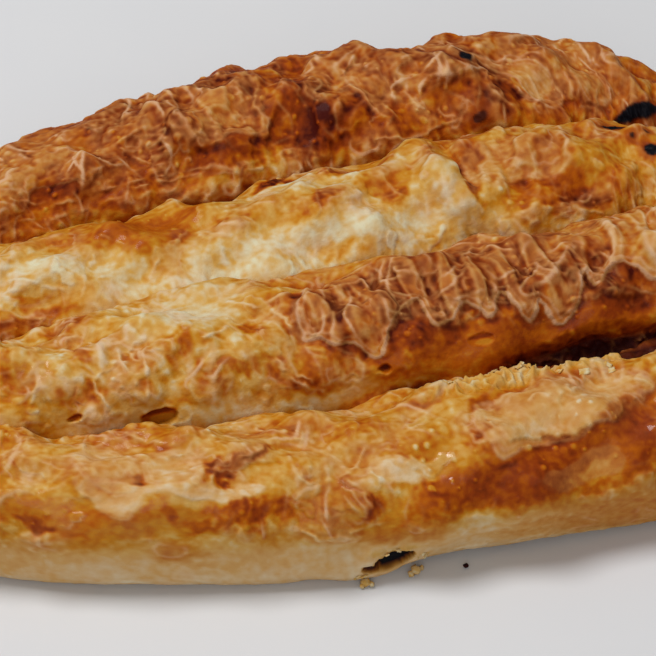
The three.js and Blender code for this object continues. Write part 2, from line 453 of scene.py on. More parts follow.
# Each list works like a brush: row, X, down, half length, half width, turn in degrees, value.
# Browning runs from 0, raw cream, through golden and orange-brown at a half, to 1, nearly black. A few
# strokes are painted shade instead: they darken a seam and a groove where shadow falls.
BROWNING_AND_SHADE = (
    # back row: brown all along, darkest past its middle, tan to the right
    (3, 10, 0, 98, 27, 0, 0.62), (3, -56, -2, 10, 9, 0, 0.47), (3, -54, -3, 1.3, 5, 0, 0.70),
    (3, -62, 8, 7, 4, 0, 0.46), (3, -67, 17, 4, 1.5, 0, 0.62), (3, -43, 2, 5, 6, 0, 0.46),
    (3, -35, 8, 6, 3, 15, 0.76), (3, -49, 12, 7, 2.5, 10, 0.74), (3, -25, 8, 5, 5, 0, 0.60),
    (3, -7, 3, 8, 6, 0, 0.46), (3, -10, -7, 8, 3, 0, 0.70), (3, -3, 15, 8, 3, 5, 0.70),
    (3, 6, 17, 5, 3, 0, 0.50), (3, 18, 12, 6.5, 7, 15, 0.98), (3, 12.5, -2, 2.5, 9, 0, 0.76),
    (3, 25, 5, 4, 6, 10, 0.46), (3, 34, -1, 8, 8, 20, 0.62), (3, 44, 10, 6, 6, 0, 0.50),
    (3, 60, -6, 12, 9, 0, 0.60), (3, 57, 9, 6, 3, 0, 0.52), (3, 62, 14.5, 3.5, 2, -30, 0.74),
    (3, 73, 9, 5, 7, 20, 0.14), (3, 65.5, 13.5, 3, 3.2, 0, 0.74), (3, 97, 10, 5, 3, 0, 0.64),
    (3, 61, 6, 4, 2, 20, 0.66), (3, 80, -1, 14, 12, 0, 0.54), (3, 102, 2, 14, 14, 0, 0.50),
    (3, -28, 18.5, 34, 3, 2, 0.50), (3, -24, 23, 40, 2.2, 0, 0.40), (3, 34, 23, 34, 3, 0, 0.48),
    # third row: golden patch at the left, cream in the middle, brown at the right
    (2, 0, 4, 98, 24, 0, 0.20), (2, -58, -7, 10, 9, 0, 0.28), (2, -62, 7, 15, 8, 0, 0.10),
    (2, -64, 12, 5, 1.6, 20, 0.38),
    (2, -66, 18, 10, 2.2, 0, 0.56), (2, -38, -8, 19, 8, 0, 0.50), (2, -33, -3, 11, 6.5, 0, 0.56),
    (2, -34, 3, 4, 3.5, 0, 0.48), (2, -15, 13, 34, 6, 0, 0.08), (2, -30, 9, 4, 5, -40, 0.28),
    # Painted shade: the stroke at 0.95 darkens the seam where the third row meets the back row.
    (2, -13, -2, 6, 6, 20, 0.36), (2, 1, -16, 3.5, 3, 0, 0.95), (2, 2, -12.2, 9, 1.3, -8, 0.06),
    (3, -8, 21.0, 11, 1.2, 4, 0.28), (2, 3, 2, 8, 5, 15, 0.36),
    (2, 10.5, 1.5, 4.5, 3.5, 20, 0.60), (2, 24, -2, 7, 4, 10, 0.46), (2, 26, 3, 2, 4, 0, 0.48),
    (2, 27, 13, 16, 4.5, 0, 0.08), (2, 8, 15, 5, 2, 0, 0.30), (2, 39, -5, 4, 9, 0, 0.46),
    (2, 38.5, 4, 2.6, 7, -8, 0.16), (2, 44.2, 2, 1.0, 8, -6, 0.68), (2, 49, -5, 4, 6, 0, 0.50),
    (2, 59, 1, 12, 7, 0, 0.46),
    (2, 64, 11, 15, 3.5, 0, 0.56), (2, 68, 15.5, 9, 2, 0, 0.74), (2, 82, 2, 9, 12, 0, 0.44),
    (2, 52, -14, 10, 4, 0, 0.56), (2, 22, -12, 12, 3, 0, 0.50),
    # second row: tan at the left, cream where it melts into the third, dark brown at the right
    (1, -40, 6, 50, 30, 0, 0.24), (1, -74, 3, 3, 8, 0, 0.42), (1, -57.5, 2.5, 1.8, 4, 0, 0.58),
    (1, -29, -6, 13, 10, 0, 0.10), (1, -58, -12, 6, 4, 0, 0.46), (1, -62, 14, 4, 3, 0, 0.52),
    (1, -37, 8, 2, 7, 30, 0.40), (1, -33, 20, 7, 4, 0, 0.44), (1, -23, 14.5, 6, 1.2, 0, 0.52),
    (1, -16.5, 20, 1.4, 5, 0, 0.50), (1, -4, 14, 6, 6, 20, 0.48), (1, -18, 3, 2, 3, 0, 0.50),
    (1, -8, 5, 4, 2.5, 0, 0.60), (1, -6.5, -1, 4, 3, 0, 0.58), (1, 38, 4, 43, 26, 0, 0.60),
    (1, 86, 4, 16, 22, 0, 0.36),
    (1, 0.5, 4.5, 2.2, 4, 0, 0.93), (1, 3, 13.5, 3, 2.5, 0, 0.72), (1, 16, 14, 5, 3.5, 0, 0.82),
    (1, 27, 14.5, 3, 2.5, 0, 0.80), (1, 67, 14, 6, 5, 0, 0.80), (1, 36, 20, 26, 4, 0, 0.57),
    # Painted shade: the two strokes at 1.15 darken the deep groove between the first two rows.
    (1, 58, 22, 18, 4, 0, 0.66), (1, 62, 29, 26, 5, 0, 1.15), (0, 62, -21, 26, 5, 0, 1.15),
    (1, 12, 26, 7, 2, 0, 0.92),
    (1, -28, 24, 42, 3.5, 0, 0.17), (1, -18, 20, 6, 3, 0, 0.46), (1, 15, -14, 12, 4, 0, 0.40),
    (1, 45, -13, 20, 5, 0, 0.52),
    # front row: tan and golden at the left, deep orange-brown at the right, tan foot
    (0, -10, 4, 95, 30, 0, 0.28), (0, -45, -7, 34, 3.4, 0, 0.42), (0, -57, 0, 6, 7, 0, 0.26),
    (0, -44, 4, 6, 6, 0, 0.24), (0, -52, 8, 1.5, 2.5, 0, 0.54), (0, -63, 17, 14, 5, 3, 0.48),
    (0, -70, 19.5, 3.5, 1.4, 0, 0.70), (0, -38, 18, 13, 5, 0, 0.46), (0, -41, 21, 4, 2, 0, 0.66),
    (0, -33, 18, 5, 1.6, -15, 0.66), (0, -46, 18, 1.2, 2.5, 0, 0.66), (0, -30, 4, 8, 1.6, -28, 0.74),
    (0, -35, 7.5, 3, 1.8, 0, 0.74), (0, -42, 12.5, 16, 2.2, 0, 0.12), (0, -14, 17, 11, 4, 0, 0.46),
    (0, -24, 17.5, 1.6, 2.5, 0, 0.62), (0, -18, 6, 8, 5, 0, 0.26), (0, -6, -3, 14, 4, 0, 0.40),
    (0, 4, 4, 9, 4, 0, 0.38), (0, 4, 11, 6, 3, 0, 0.14), (0, -4, 18, 2, 3, 0, 0.64),
    (0, 22, 5, 2, 3, 0, 0.52), (0, 26, -2, 4, 2, 0, 0.60), (0, 36, 18, 30, 8.4, -3, 0.64),
    (0, 10, 16, 6, 2.5, 0, 0.70), (0, 38, 17, 21, 5.4, -3, 0.71), (0, 56, 8, 8, 6, -20, 0.68),
    (0, 54, 17, 4, 6, 0, 0.58), (0, 43, 1, 19, 7, -6, 0.25), (0, 25, -8, 26, 3, 0, 0.42),
    (0, -10, 31, 98, 6, 0, 0.18), (0, -10, 40, 110, 7, 0, 0.12), (0, 62, 33, 34, 9, 0, 0.42),
    (0, 1, 26, 9, 3.5, 0, 0.46),
    (0, -45, 26, 4, 2.5, 0, 0.44), (0, 47, 20, 8, 2.6, -15, 0.46), (0, 66, 20, 6, 8, 0, 0.46),
)

# Loose film: pinkish tan and matt, over the glossy dough below it. The value is how much of the
# place it covers.
LOOSE_FILM = (
    (1, 44, 19, 40, 6, 0, 0.0), (1, 16, 14, 6, 4, 0, 0.1), (1, -50, 6, 9, 8, 0, 0.7),
    (1, -14, 3, 10, 8, 0, 0.5), (1, 44, -4, 44, 12, 0, 0.75), (0, 35, 17, 34, 7.5, -3, -0.3),
    (0, 43, 2, 20, 8, -6, 0.9), (0, -55, 17, 24, 5, 0, 0.25), (0, -45, 3, 30, 4, 0, 0.6),
    (0, -12, 13, 9, 7, 0, 0.6), (0, -8, 32, 90, 6, 0, 0.2), (3, -30, -2, 38, 14, 0, 0.7),
    (3, 17, 6, 6, 9, 10, 0.1), (3, 40, 0, 24, 12, 0, 0.8), (3, 80, 0, 24, 14, 0, 0.9),
    (3, 73, 9, 5, 7, 20, 1.2), (3, 65.5, 13.5, 3, 3, 0, 0.1), (1, 0, 5, 5, 6, 0, 0.0),
    (2, -33, -6, 15, 10, 0, 0.0), (2, 62, 12, 15, 4, 0, 0.1), (2, 16, 2, 12, 8, 0, 0.4),
    (3, -4, 16, 10, 3, 0, 0.0),
)

# Egg wash that stayed smooth and shines.
GLAZE = (
    (0, -58, 16, 20, 6, 0, 0.6), (0, -14, 16, 10, 5, 0, 0.6), (0, 33, 16, 32, 6, -3, 0.25),
    (1, 45, 19, 40, 6, 0, 0.35), (2, -32, -5, 14, 9, 0, 0.5), (0, -45, -7, 34, 4, 0, 0.6),
    (3, -2, 15, 9, 4, 0, 0.35), (0, 43, 1, 19, 6, -6, 0.4), (0, 57, 8, 8, 7, 0, 0.7),
    (1, -70, 8, 4, 3, 0, 0.9), (0, 13.5, 12, 2.5, 5, -10, 1.0), (2, -29, 0, 6, 2, 20, 0.9),
)

# Slack in the outer film: most and least spare length, the way of the most from the rope's own
# way in degrees, and how fine its folds are.
SLACK = (
    (3, 0, 0, 100, 26, 0, (0.10, 0.06, 20, 0.5)), (3, -35, 17, 36, 5, 0, (0.12, 0.02, 90, 0.8)),
    (3, 40, 0, 26, 14, 0, (0.08, 0.03, 35, 0.5)), (3, 84, 2, 24, 18, 0, (0.06, 0.025, -30, 0.6)),
    (3, -12, 4, 10, 8, 0, (0.09, 0.03, 10, 0.3)), (3, -50, 2, 30, 16, 0, (0.06, 0.05, 20, 0.7)),
    (2, 0, 2, 98, 24, 0, (0.04, 0.03, 20, 0.4)), (2, -10, 10, 34, 9, 0, (0.04, 0.02, -25, 0.3)),
    (2, -32, -5, 14, 8, 0, (0.02, 0.01, 0, 1.0)), (2, 58, -1, 15, 10, 0, (0.10, 0.05, -20, 0.4)),
    (2, 38, 0, 7, 12, 0, (0.08, 0.02, 0, 0.2)),
    (1, -40, 4, 48, 22, 0, (0.07, 0.04, 20, 0.4)), (1, -28, -6, 20, 9, 0, (0.02, 0.01, 0, 0.3)),
    (1, 42, -3, 48, 14, 0, (0.13, 0.04, 5, 0.35)),
    (1, 40, -14, 50, 7, 0, (0.03, 0.03, 60, 0.5)), (1, 15, 14, 9, 5, 0, (0.08, 0.08, 0, 1.0)),
    (1, 48, 20, 34, 6, 0, (0.01, 0.01, 0, 0.5)), (1, -20, 25, 90, 4, 0, (0.02, 0.01, 0, 0.5)),
    (0, -20, 2, 70, 14, 0, (0.05, 0.03, 30, 0.6)), (0, 42, 1, 21, 7, -6, (0.03, 0.01, 60, 0.3)),
    (0, 35, 16, 32, 7, 0, (0.01, 0.00, 0, 0.5)), (0, -58, 17, 20, 5, 0, (0.02, 0.01, 0, 0.8)),
    (0, -10, 34, 110, 12, 0, (0.01, 0.01, 0, 0.3)), (0, -8, 16, 12, 6, 0, (0.06, 0.05, 0, 0.8)),
)

# Soft swellings and hollows of the crust. The value is the height in mm.
BULGES = (
    (2, -26, 21, 38, 5, 0, 3.6), (1, -26, -19, 38, 5, 0, 3.6), (3, 46, -17, 8, 12, 0, -5.5),
    (3, 32, -16, 9, 8, 0, 0.7),
    (3, -25, -18, 13, 9, 0, -1.0), (3, -10, -18, 7, 8, 0, -1.4), (3, -40, -18, 10, 8, 0, 2.6),
    (3, -4, -18, 12, 8, 0, 1.8), (3, -70, -18, 16, 9, 0, 0.6), (3, 112, -18, 20, 9, 0, 3.0),
    (3, 60, -17, 12, 9, 0, -2.4), (3, 82, -17, 14, 9, 0, -1.2), (2, 24, -14, 6, 6, 0, -1.2),
    (2, 34, -14, 6, 6, 0, 1.6), (2, 88, -12, 14, 7, 0, -1.8),
    (0, 30, 38, 34, 8, 0, -3.0), (0, -24, 38, 16, 6, 0, 1.4), (0, -5, 38, 9, 6, 0, 2.4),
    (2, 3, -12, 20, 7, 0, -1.8), (2, 42, -15, 12, 6, 0, 1.6),
    (2, 39.5, -1, 4, 12, -8, 2.3), (2, 44.6, 1, 1.5, 10, -6, -1.2), (3, 76, 21.5, 30, 5, 0, 2.6),
    (0, -48, 14, 14, 6, 0, 0.9),
    (0, 40, 6, 20, 5, -8, 0.8), (1, -58, 12, 10, 8, 0, 0.8), (3, -30, 22, 34, 3, 0, 1.2),
    (1, 64, 26, 24, 4, 0, -3.8), (0, 68, -18, 22, 4, 0, -4.2), (0, 47, -9, 10, 3, 0, 1.3),
    (0, 61, -11, 7, 4, 0, -1.9), (0, 28, -10, 20, 2.4, 0, 1.6),
    (1, 12, 25, 9, 3, 0, -2.0), (0, 8, -14, 10, 4, 0, -2.0),
)

# Sheets of loose film: row, how pale the edge dried, then the X and mm down that it runs through.
SHEETS = (
    (1, 0.9, (-8, 8), (-4, 9), (0, 12.5), (4, 13), (6.5, 16), (9.5, 14.5), (11.5, 10.5), (13.5, 8),
     (16.5, 5.5), (19, 4.5), (20.5, 10), (22.5, 12.5), (25, 12), (28, 9), (30.5, 8.3), (32.5, 10),
     (33.5, 12.5), (36, 12), (37.2, 8), (38.5, 6.8), (40.5, 9), (42.5, 13), (45, 14.6), (47, 11.5),
     (50, 16), (52, 16.5), (55.5, 13.5), (57.5, 8), (59, 5), (60.8, 9.5), (62.5, 10), (64, 8.5),
     (66, 6.5), (69, 6.5), (72, 8.5), (76, 12), (84, 8), (90, -2), (84, -12), (70, -17), (50, -14),
     (30, -17), (14, -14), (2, -10), (-6, -2)),
    (0, 0.5, (22, 4), (24, -2), (30, -3), (35, -5), (41, -7.5), (45, -6), (48, -3), (51, -7),
     (56, -7.5), (61, -3), (64.5, 2), (60, 3), (56, 3.5), (52, 6), (48, 8), (45, 10.5), (38, 11),
     (30, 11.5), (25, 12.2), (23, 9)),
    (0, 0.4, (-62, -2), (-60, -6), (-57, -7), (-54, -4), (-52, 0), (-51, 6), (-52, 12), (-56, 10),
     (-61, 7), (-63, 2)),
    (0, 0.4, (-50, 3), (-47, -1.5), (-43, -2), (-40, 0), (-38.5, 4), (-40, 9), (-44, 11), (-49, 9)),
    (0, 0.4, (-62, 9), (-59, 12), (-57, 16), (-53, 17), (-50, 13), (-46, 12.5), (-42, 13), (-38, 14),
     (-32, 14.5), (-28, 12), (-30, 10.5), (-36, 11), (-42, 9.5), (-50, 10), (-56, 8)),
    (0, 0.3, (-3, 9), (0, 7.5), (5, 8), (9, 10), (9, 13), (3, 14), (-2, 12)),
    (0, 0.1, (32, 19), (38, 17), (44, 14.5), (50, 14), (53, 17), (50, 20), (44, 21), (38, 23)),
    (2, 0.3, (46, -4), (52, -8), (60, -6), (66, -2), (70, 4), (66, 8), (58, 7), (50, 8), (46, 4)),
    (2, 0.3, (9, -1), (12, -3.5), (15, -2), (15, 2), (12, 3), (9.5, 2)),
    (3, 0.5, (-16, 3), (-12, -2), (-6, -4), (0, -2), (3, 4), (5, 10), (0, 13), (-6, 12), (-10, 13.5),
     (-14, 11), (-17, 8)),
    (3, 0.6, (58, 1), (64, 3), (70, 3.5), (76, 4), (79.5, 9), (81, 15), (76, 17), (71, 14),
     (69, 9), (63, 6)),
    (3, 0.5, (86, 2), (92, 4), (96, 3), (100, 7), (97, 12), (91, 13), (88, 9)),
    (3, 0.4, (30, -2), (34, 2), (37, 8), (35, 13), (32, 15), (29, 10), (27, 3)),
)

# Folds that dried pale and stand up a little: row, then the X and mm down that the fold runs through.
FOLDS = (
    (1, (16.5, -6), (20, -1.8), (24, -0.3), (28, -1), (31.5, 1.5), (34, 1.8)),
    (1, (30, 5.5), (31, 3.2), (34, 3), (37, 4), (37.5, 7)), (1, (20.5, 0.5), (22, 5), (22.6, 11)),
    (1, (23, 1), (24, 6), (24.2, 11.5)), (1, (44, 1), (44.2, 6), (43.6, 12)),
    (1, (46, 1), (45.8, 7), (45.6, 12)), (1, (10.5, -5), (11, 1), (13, 6)),
    (1, (33, 1), (35, -5), (38, -9.5), (41, -8), (44, -4), (48, -1), (50, 5), (55, 6.5), (57, 3)),
    (1, (57.2, 2), (57.6, 7), (56.5, 12)), (1, (61, 9), (61.3, 4), (64, 1.5), (66.5, 3.5), (69, 8)),
    (1, (62, 3), (64, 6), (64.5, 9)), (1, (2, -3), (6, -5), (13, -5.5)),
    (1, (-62, 0), (-60.5, -4.5), (-57, -6), (-55, -3), (-54, 3)),
    (1, (-50, 4), (-49.8, 9), (-47, 14)), (1, (-48, 3.5), (-45.5, 9), (-44.5, 5)),
    (1, (-45.5, 17.5), (-44, 9), (-42.5, 3), (-40, 3.5), (-36, 8.5), (-32.5, 14.5), (-30, 16)),
    (1, (-57, 12.5), (-55.5, 16), (-54, 20)), (1, (-22, -8), (-16, -3), (-8, -4)),
    (1, (-30, 6), (-24, 3.5), (-18.5, 0), (-14.5, -1), (-11.5, 1), (-9.5, 5)),
    (1, (-16.5, 11), (-14, 16), (-8, 19)), (1, (-16, 14), (-12, 19), (-6, 21)),
    (1, (-70, 6), (-69, 10), (-71, 14)),
    (0, (-52, -10), (-47, -5), (-40, -2), (-34, -1)), (0, (-24, -10), (-20, -6), (-14, -4)),
    (0, (-38, 10), (-35, 5), (-30, 4), (-24, 0)), (0, (-10, 14), (-6, 18.5)),
    (0, (-20, 4), (-19, 10), (-13, 11), (-6, 8), (-3, 4)), (0, (-9, 12), (-5, 18)),
    (0, (45, -3), (44.5, 0), (47, -2), (50, -6)), (0, (52, -7), (58, -4), (64, 2)),
    (0, (36, 0), (38, -1.5), (40, 0)), (0, (19, 3), (21, 8), (24, 9), (25, 4)),
    (0, (-12, 24), (-6, 22), (0, 23)), (0, (-20, 22), (-17, 25), (-12, 24)),
    (2, (-20, -6), (-20, 0), (-18.5, 7), (-17.5, 13)), (2, (-20, -4), (-16, -1), (-10, 3), (-6, 5)),
    (2, (-54, 16), (-50, 8), (-48, 3)),
    (2, (43, -13), (43.5, -5), (44.5, 2), (43.5, 9), (46, 14)), (2, (45, -10), (46, -3), (46, 4)),
    (2, (-70, 4), (-62, 9), (-57, 13)), (2, (-44, -2), (-38, 4), (-34, 6.5), (-28, 3), (-24, 0)),
    (2, (-36, 13), (-31, 7), (-27, 3)), (2, (-72, 14), (-66, 16), (-60, 18)),
    (2, (60, -7), (60, 0)), (2, (26, -2), (27, 4), (33, 8)), (2, (55, 16), (64, 14), (74, 15)),
    (2, (56, 19), (66, 18), (76, 19)),
    (3, (-33, 3.5), (-28, 2.5), (-22, 3.5), (-19, 7), (-16, 8), (-14, 12), (-11, 13)),
    (3, (-32, 5), (-29, 9), (-27, 13), (-22, 14)), (3, (-27, 5.5), (-25, 9), (-21, 11), (-18, 15)),
    (3, (-28, 4), (-24, 5), (-21, 8)), (3, (-44, 15), (-40, 12), (-35, 10.5), (-33, 14)),
    (3, (-62, 10), (-56, 13), (-50, 16), (-40, 16.5), (-28, 15.5), (-16, 17), (-6, 20), (0, 21)),
    (3, (-52, 19), (-44, 18), (-36, 18.5), (-24, 17), (-14, 19), (-4, 21)),
    (3, (-34, 21.5), (-28, 20), (-20, 19.5)), (3, (-68, 16), (-60, 17), (-56, 20)),
    (3, (14, 6), (18, 0), (22, -2), (26, 4), (30, 12), (33, 16)), (3, (20, -1), (25, 3), (28, 8)),
    (3, (33, 4), (37, 8), (35, 13), (37, 17)), (3, (39, 5), (41, 12), (43, 15)),
    (3, (41, 4), (45, 8), (52, 10)), (3, (50, 12), (47, 17), (51, 19)),
    (3, (56, 6), (62, 8), (60, 14), (64, 17)), (3, (57, 1), (64, 4), (72, 8), (73.5, 14), (72, 17)),
    (3, (30, 21), (38, 22), (50, 20.5), (58, 22)), (3, (66, 10), (70, 12), (68, 17)),
    (3, (10, -16), (13, -10), (14, -3), (13, 5)), (3, (-10, -9), (-6, -5), (-2, -2), (4, -4)),
)


def paint(field, strokes, ragged, edge):
    """Takes a field to each stroke's value, or values, inside the stroke."""
    for *place, turned, value in strokes:
        columns, inside = patch(*place, turned, ragged, edge)
        if isinstance(value, tuple):
            inside = inside[..., None]
        field[columns] += (np.array(value) - field[columns]) * inside
    return field


def add_strokes(field, strokes, ragged, edge):
    """Adds each stroke's value to a field inside the stroke."""
    for *place, turned, value in strokes:
        columns, inside = patch(*place, turned, ragged, edge)
        field[columns] += value * inside
    return field


# ---------------------------------------------------------------- slack film, buckled

STIFFNESS = 0.25
# How hard the diagonals pull beside the sides of a cell.
DIAGONAL_PULL = 0.4
# Shares of its speed that film keeps, and of its pull that it gains, in a round.
KEPT_SPEED, GAINED_SPEED = 0.6, 0.35
# Shares that film is drawn home, pressed down from above its highest fold, and stuck where taut.
HOMING, PRESSING, STICKING = 0.01, 0.3, 0.12
# The cells that a cell is tied to, and how hard.
LINKS = ((1, 0, 1.0), (0, 1, 1.0), (1, 1, DIAGONAL_PULL), (1, -1, DIAGONAL_PULL))
# Cells to a step, rounds and the highest fold in mm, from the broad folds to the fine ones.
FOLD_LEVELS = ((4, 160, 1.7), (2, 120, 0.9), (1, 16, 0.8))


def pull(film, moves, di, dj, rest, strength):
    """Moves cells that are `di` and `dj` apart towards their rest distance from each other."""
    columns, lines = film.shape[1:]
    low, high = max(0, -dj), lines - max(0, dj)
    first = (slice(None), slice(0, columns - di), slice(low, high))
    second = (slice(None), slice(di, columns), slice(low + dj, high + dj))
    gap = film[second] - film[first]
    reach = np.sqrt(gap[0] ** 2 + gap[1] ** 2 + gap[2] ** 2) + 1e-6
    gap *= 0.5 * strength * (1 - rest[first[1:]] / reach)
    moves[first] += gap
    moves[second] -= gap


def spread(film):
    """Each inner cell's offset from the mean of its four neighbours."""
    offset = np.zeros_like(film)
    offset[:, 1:-1, 1:-1] = (film[:, 2:, 1:-1] + film[:, :-2, 1:-1] + film[:, 1:-1, 2:]
                             + film[:, 1:-1, :-2]) / 4 - film[:, 1:-1, 1:-1]
    return offset


def buckle(film, home, step, slack, rounds, highest):
    """Lets film that is longer than its place buckle into folds over the dough below it."""
    most, least, way = (1 + slack[..., 0]) ** 2, (1 + slack[..., 1]) ** 2, np.radians(slack[..., 2])
    c, s = np.cos(way), np.sin(way)
    along, around = c * c * most + s * s * least, s * s * most + c * c * least
    slant = 2 * c * s * (most - least)
    rests = [(step * np.sqrt(square)).astype(np.float32)
             for square in (along, around, along + around + slant, along + around - slant)]
    stuck = (STICKING * ease(0.05, 0.0, slack[..., 0] + slack[..., 1])).astype(np.float32)
    speed = np.zeros_like(film)
    for _ in range(rounds):
        moves = np.zeros_like(film)
        for (di, dj, strength), rest in zip(LINKS, rests):
            pull(film, moves, di, dj, rest, strength)
        speed = speed * KEPT_SPEED + moves * GAINED_SPEED
        film += speed
        film -= STIFFNESS * spread(spread(film))
        film[:2] += (home - film[:2]) * HOMING
        height = np.maximum(film[2], 0.0)
        height -= PRESSING * np.maximum(height - highest, 0.0)
        film[2] = height * (1 - stuck)
    return film


def halve_cells(film):
    """The same film on cells half as wide."""
    columns, lines = film.shape[1:]
    fine = np.zeros((3, 2 * columns - 1, 2 * lines - 1), np.float32)
    fine[:, ::2, ::2] = film
    fine[:, 1::2, ::2] = (film[:, 1:] + film[:, :-1]) / 2
    fine[:, :, 1::2] = (fine[:, :, 2::2] + fine[:, :, :-1:2]) / 2
    return fine


def film_slack():
    """Spare length of the film per cell: most, least, the way of the most, and fineness."""
    slack = np.zeros(ALONG.shape + (4,)) + np.array((0.08, 0.05, 20.0, 0.6))
    slack = paint(slack, SLACK, ragged=1.6, edge=0.7)
    slack[..., :2] *= np.maximum(0.0, 1 + 0.8 * clouds(22.0, 401))[..., None]
    slack[..., :2] *= ease(HALF_SPAN, HALF_SPAN - 12, np.abs(AROUND))[..., None]
    slack[..., 2] += 90.0 * clouds(16.0, 405)
    return slack


def slack_film(slack):
    """Shift of the buckled film along and around the rope, and its height, in mm, per cell."""
    bumps = (0.3 + 0.35 * clouds(9.0, 411, 2), 0.25 * clouds(3.4, 421, 2), 0.07 * clouds(1.5, 431, 1))
    film = None
    for (skip, rounds, highest), bump in zip(FOLD_LEVELS, bumps):
        home = np.stack([ALONG, AROUND])[:, ::skip, ::skip].astype(np.float32)
        here = slack[::skip, ::skip].copy()
        fineness = here[..., 3:]
        # Where the film's folds are fine, the broad steps get less of its spare length.
        here[..., :2] *= {4: 1 - fineness, 2: 0.85 - 0.2 * fineness, 1: 1.0}[skip]
        flat = np.concatenate([home, np.zeros_like(home[:1])])
        film = flat if film is None else halve_cells(film)
        film[2] += bump[::skip, ::skip]
        film = buckle(film, home, CELL * skip, here, rounds, highest)
    film[:2] -= home
    return film


# ---------------------------------------------------------------- marks of baking

# Holes and pits: row, X, mm down the front, half length, half width, turn, depth and lip in mm, and
# how black the inside looks: painted shade, black where a torn opening would lie in deep shadow.
HOLES = (
    (1, -43.6, 23.4, 4.3, 2.4, -6, 2.2, 0.3, 0.0), (1, -62, 19.5, 1.7, 0.8, -5, 1.2, 0.15, 0.0),
    (1, 8.5, 19.5, 1.2, 1.0, 0, 1.6, 0.2, 0.0), (1, 31.5, 17.5, 3.0, 1.6, 0, 0.7, 0.2, 0.0),
    # The two on the front row's foot are the tear: their black inside is painted shade.
    (3, -66, 9, 1.0, 0.8, 0, 1.0, 0.1, 0.0), (0, -0.8, 34.8, 4.4, 2.4, -6, 2.2, 0.5, 1.0),
    (0, -5.6, 36.0, 2.6, 1.0, 12, 1.2, 0.3, 0.9),
)
# Broken, crumbly crust: row, X, mm down, half length, half width, turn and how rough in mm.
CRUMBLY = ((0, 32, -9.5, 17, 3.4, -3, 2.0), (0, 56, -10.0, 9, 2.6, 0, 1.2), (0, -1, 31.6, 6, 0.9, 0, 0.9))
# Spots burnt black, and painted shade: row, X, mm down the front, half length, half width, turn and how
# black. The last two are not burnt: they are painted shade, dark strips deep in the groove between the
# first two rows where shadow falls.
BURNT_AND_GROOVE_SHADE = (
    (3, 57, 4.5, 1.2, 2.2, 20, 1.0), (3, 57, 20, 1.8, 1.0, -20, 0.8), (3, 111.0, 8.6, 10.5, 1.7, -34, 1.0),
    (2, 88.4, -10.2, 4.6, 2.4, -6, 1.0), (2, 96.0, 1.5, 2.2, 2.0, 20, 1.0),
    (2, 90.4, -2.0, 0.8, 0.6, 0, 0.9),
    (2, 94.4, -4.0, 0.9, 0.6, 0, 0.9), (1, 58, 27.5, 20, 2.6, 0, 0.5), (0, 60, -19.5, 16, 3.0, 0, 0.6),
)
# Painted shade inside the pits: dark under the upper edge, where shade falls, and pale on the floor.
HOLE_SHADING = (
    (1, -43.6, 22.0, 4.3, 1.0, -6, 0.85), (1, -43, 24.2, 3.4, 1.2, -6, 0.40),
    (1, -62, 19.1, 1.7, 0.4, -5, 0.85),
    (1, 8.5, 19.2, 1.0, 0.7, 0, 0.95), (1, 31.5, 16.8, 2.8, 0.6, 0, 0.85),
    (1, 31.8, 18.2, 2.2, 0.8, 0, 0.42),
)

# How strongly the drawn folds of each row show.
FOLD_STRENGTHS = (0.8, 1.0, 0.6, 0.8)
# Painted shade: how much darker the crust is made for each mm that it lies lower than the crust around it.
HOLLOW_SHADING = 0.6
# Mm over which a hollow is told from the crust around it, and the deepest that counts.
HOLLOW_REACH, HOLLOW_DEPTH = 1.1, 0.3
# Blisters: mm between them, least and most radius and height in mm, and how much paler they are.
BLISTER_SPACING, BLISTER_LEAST, BLISTER_MOST = 4.2, 0.3, 1.0
BLISTER_HEIGHT, BLISTER_PALING = 0.3, 0.16
# Mm that the brown ring reaches past each spot along the row and down it: scorch round a burnt spot,
# painted shade round a groove strip.
SCORCH_AND_SHADE_ALONG, SCORCH_AND_SHADE_ACROSS = 1.6, 1.4
# Mm that the buckled film is set down by.
FILM_BASE = 0.35

# Creases in the dried film: mm between them, seed, way from the rope's own in degrees, and stretch.
CREASES = (
    (15.0, 701, 65, 2.0), (12.0, 711, -50, 1.8), (10.0, 731, 100, 2.0), (8.0, 721, 20, 1.6),
    (6.0, 741, 75, 1.6),
)
CREASE_STEEPNESS = 0.075


def sharp_creases():
    """Sharp folds that cross: height in mm, their pale tops, and the painted shade beside them."""
    height, tops, shade = (np.zeros(ALONG.shape) for _ in range(3))
    for size, seed, way, stretch in CREASES:
        field = clouds(size, seed, 1, stretch, 0.35, way)
        gap = field / (np.hypot(*np.gradient(field, CELL)) + LEAST_SLOPE)
        here = ease(-0.1, 0.5, clouds(1.2 * size, seed + 5, 2))
        height += CREASE_STEEPNESS * size * here * np.maximum(0.0, 1 - 2.5 * np.abs(field))
        tops = np.maximum(tops, here * ease(0.5, 0.15, np.abs(gap)))
        shade = np.maximum(shade, here * ease(0.8, 0.2, np.abs(gap - 0.8)))
    return height, tops, shade


def smoothed(field, reach):
    """A field evened out over about `reach` mm."""
    for _ in range(round((reach / CELL) ** 2)):
        field = field + spread(field[None])[0]
    return field


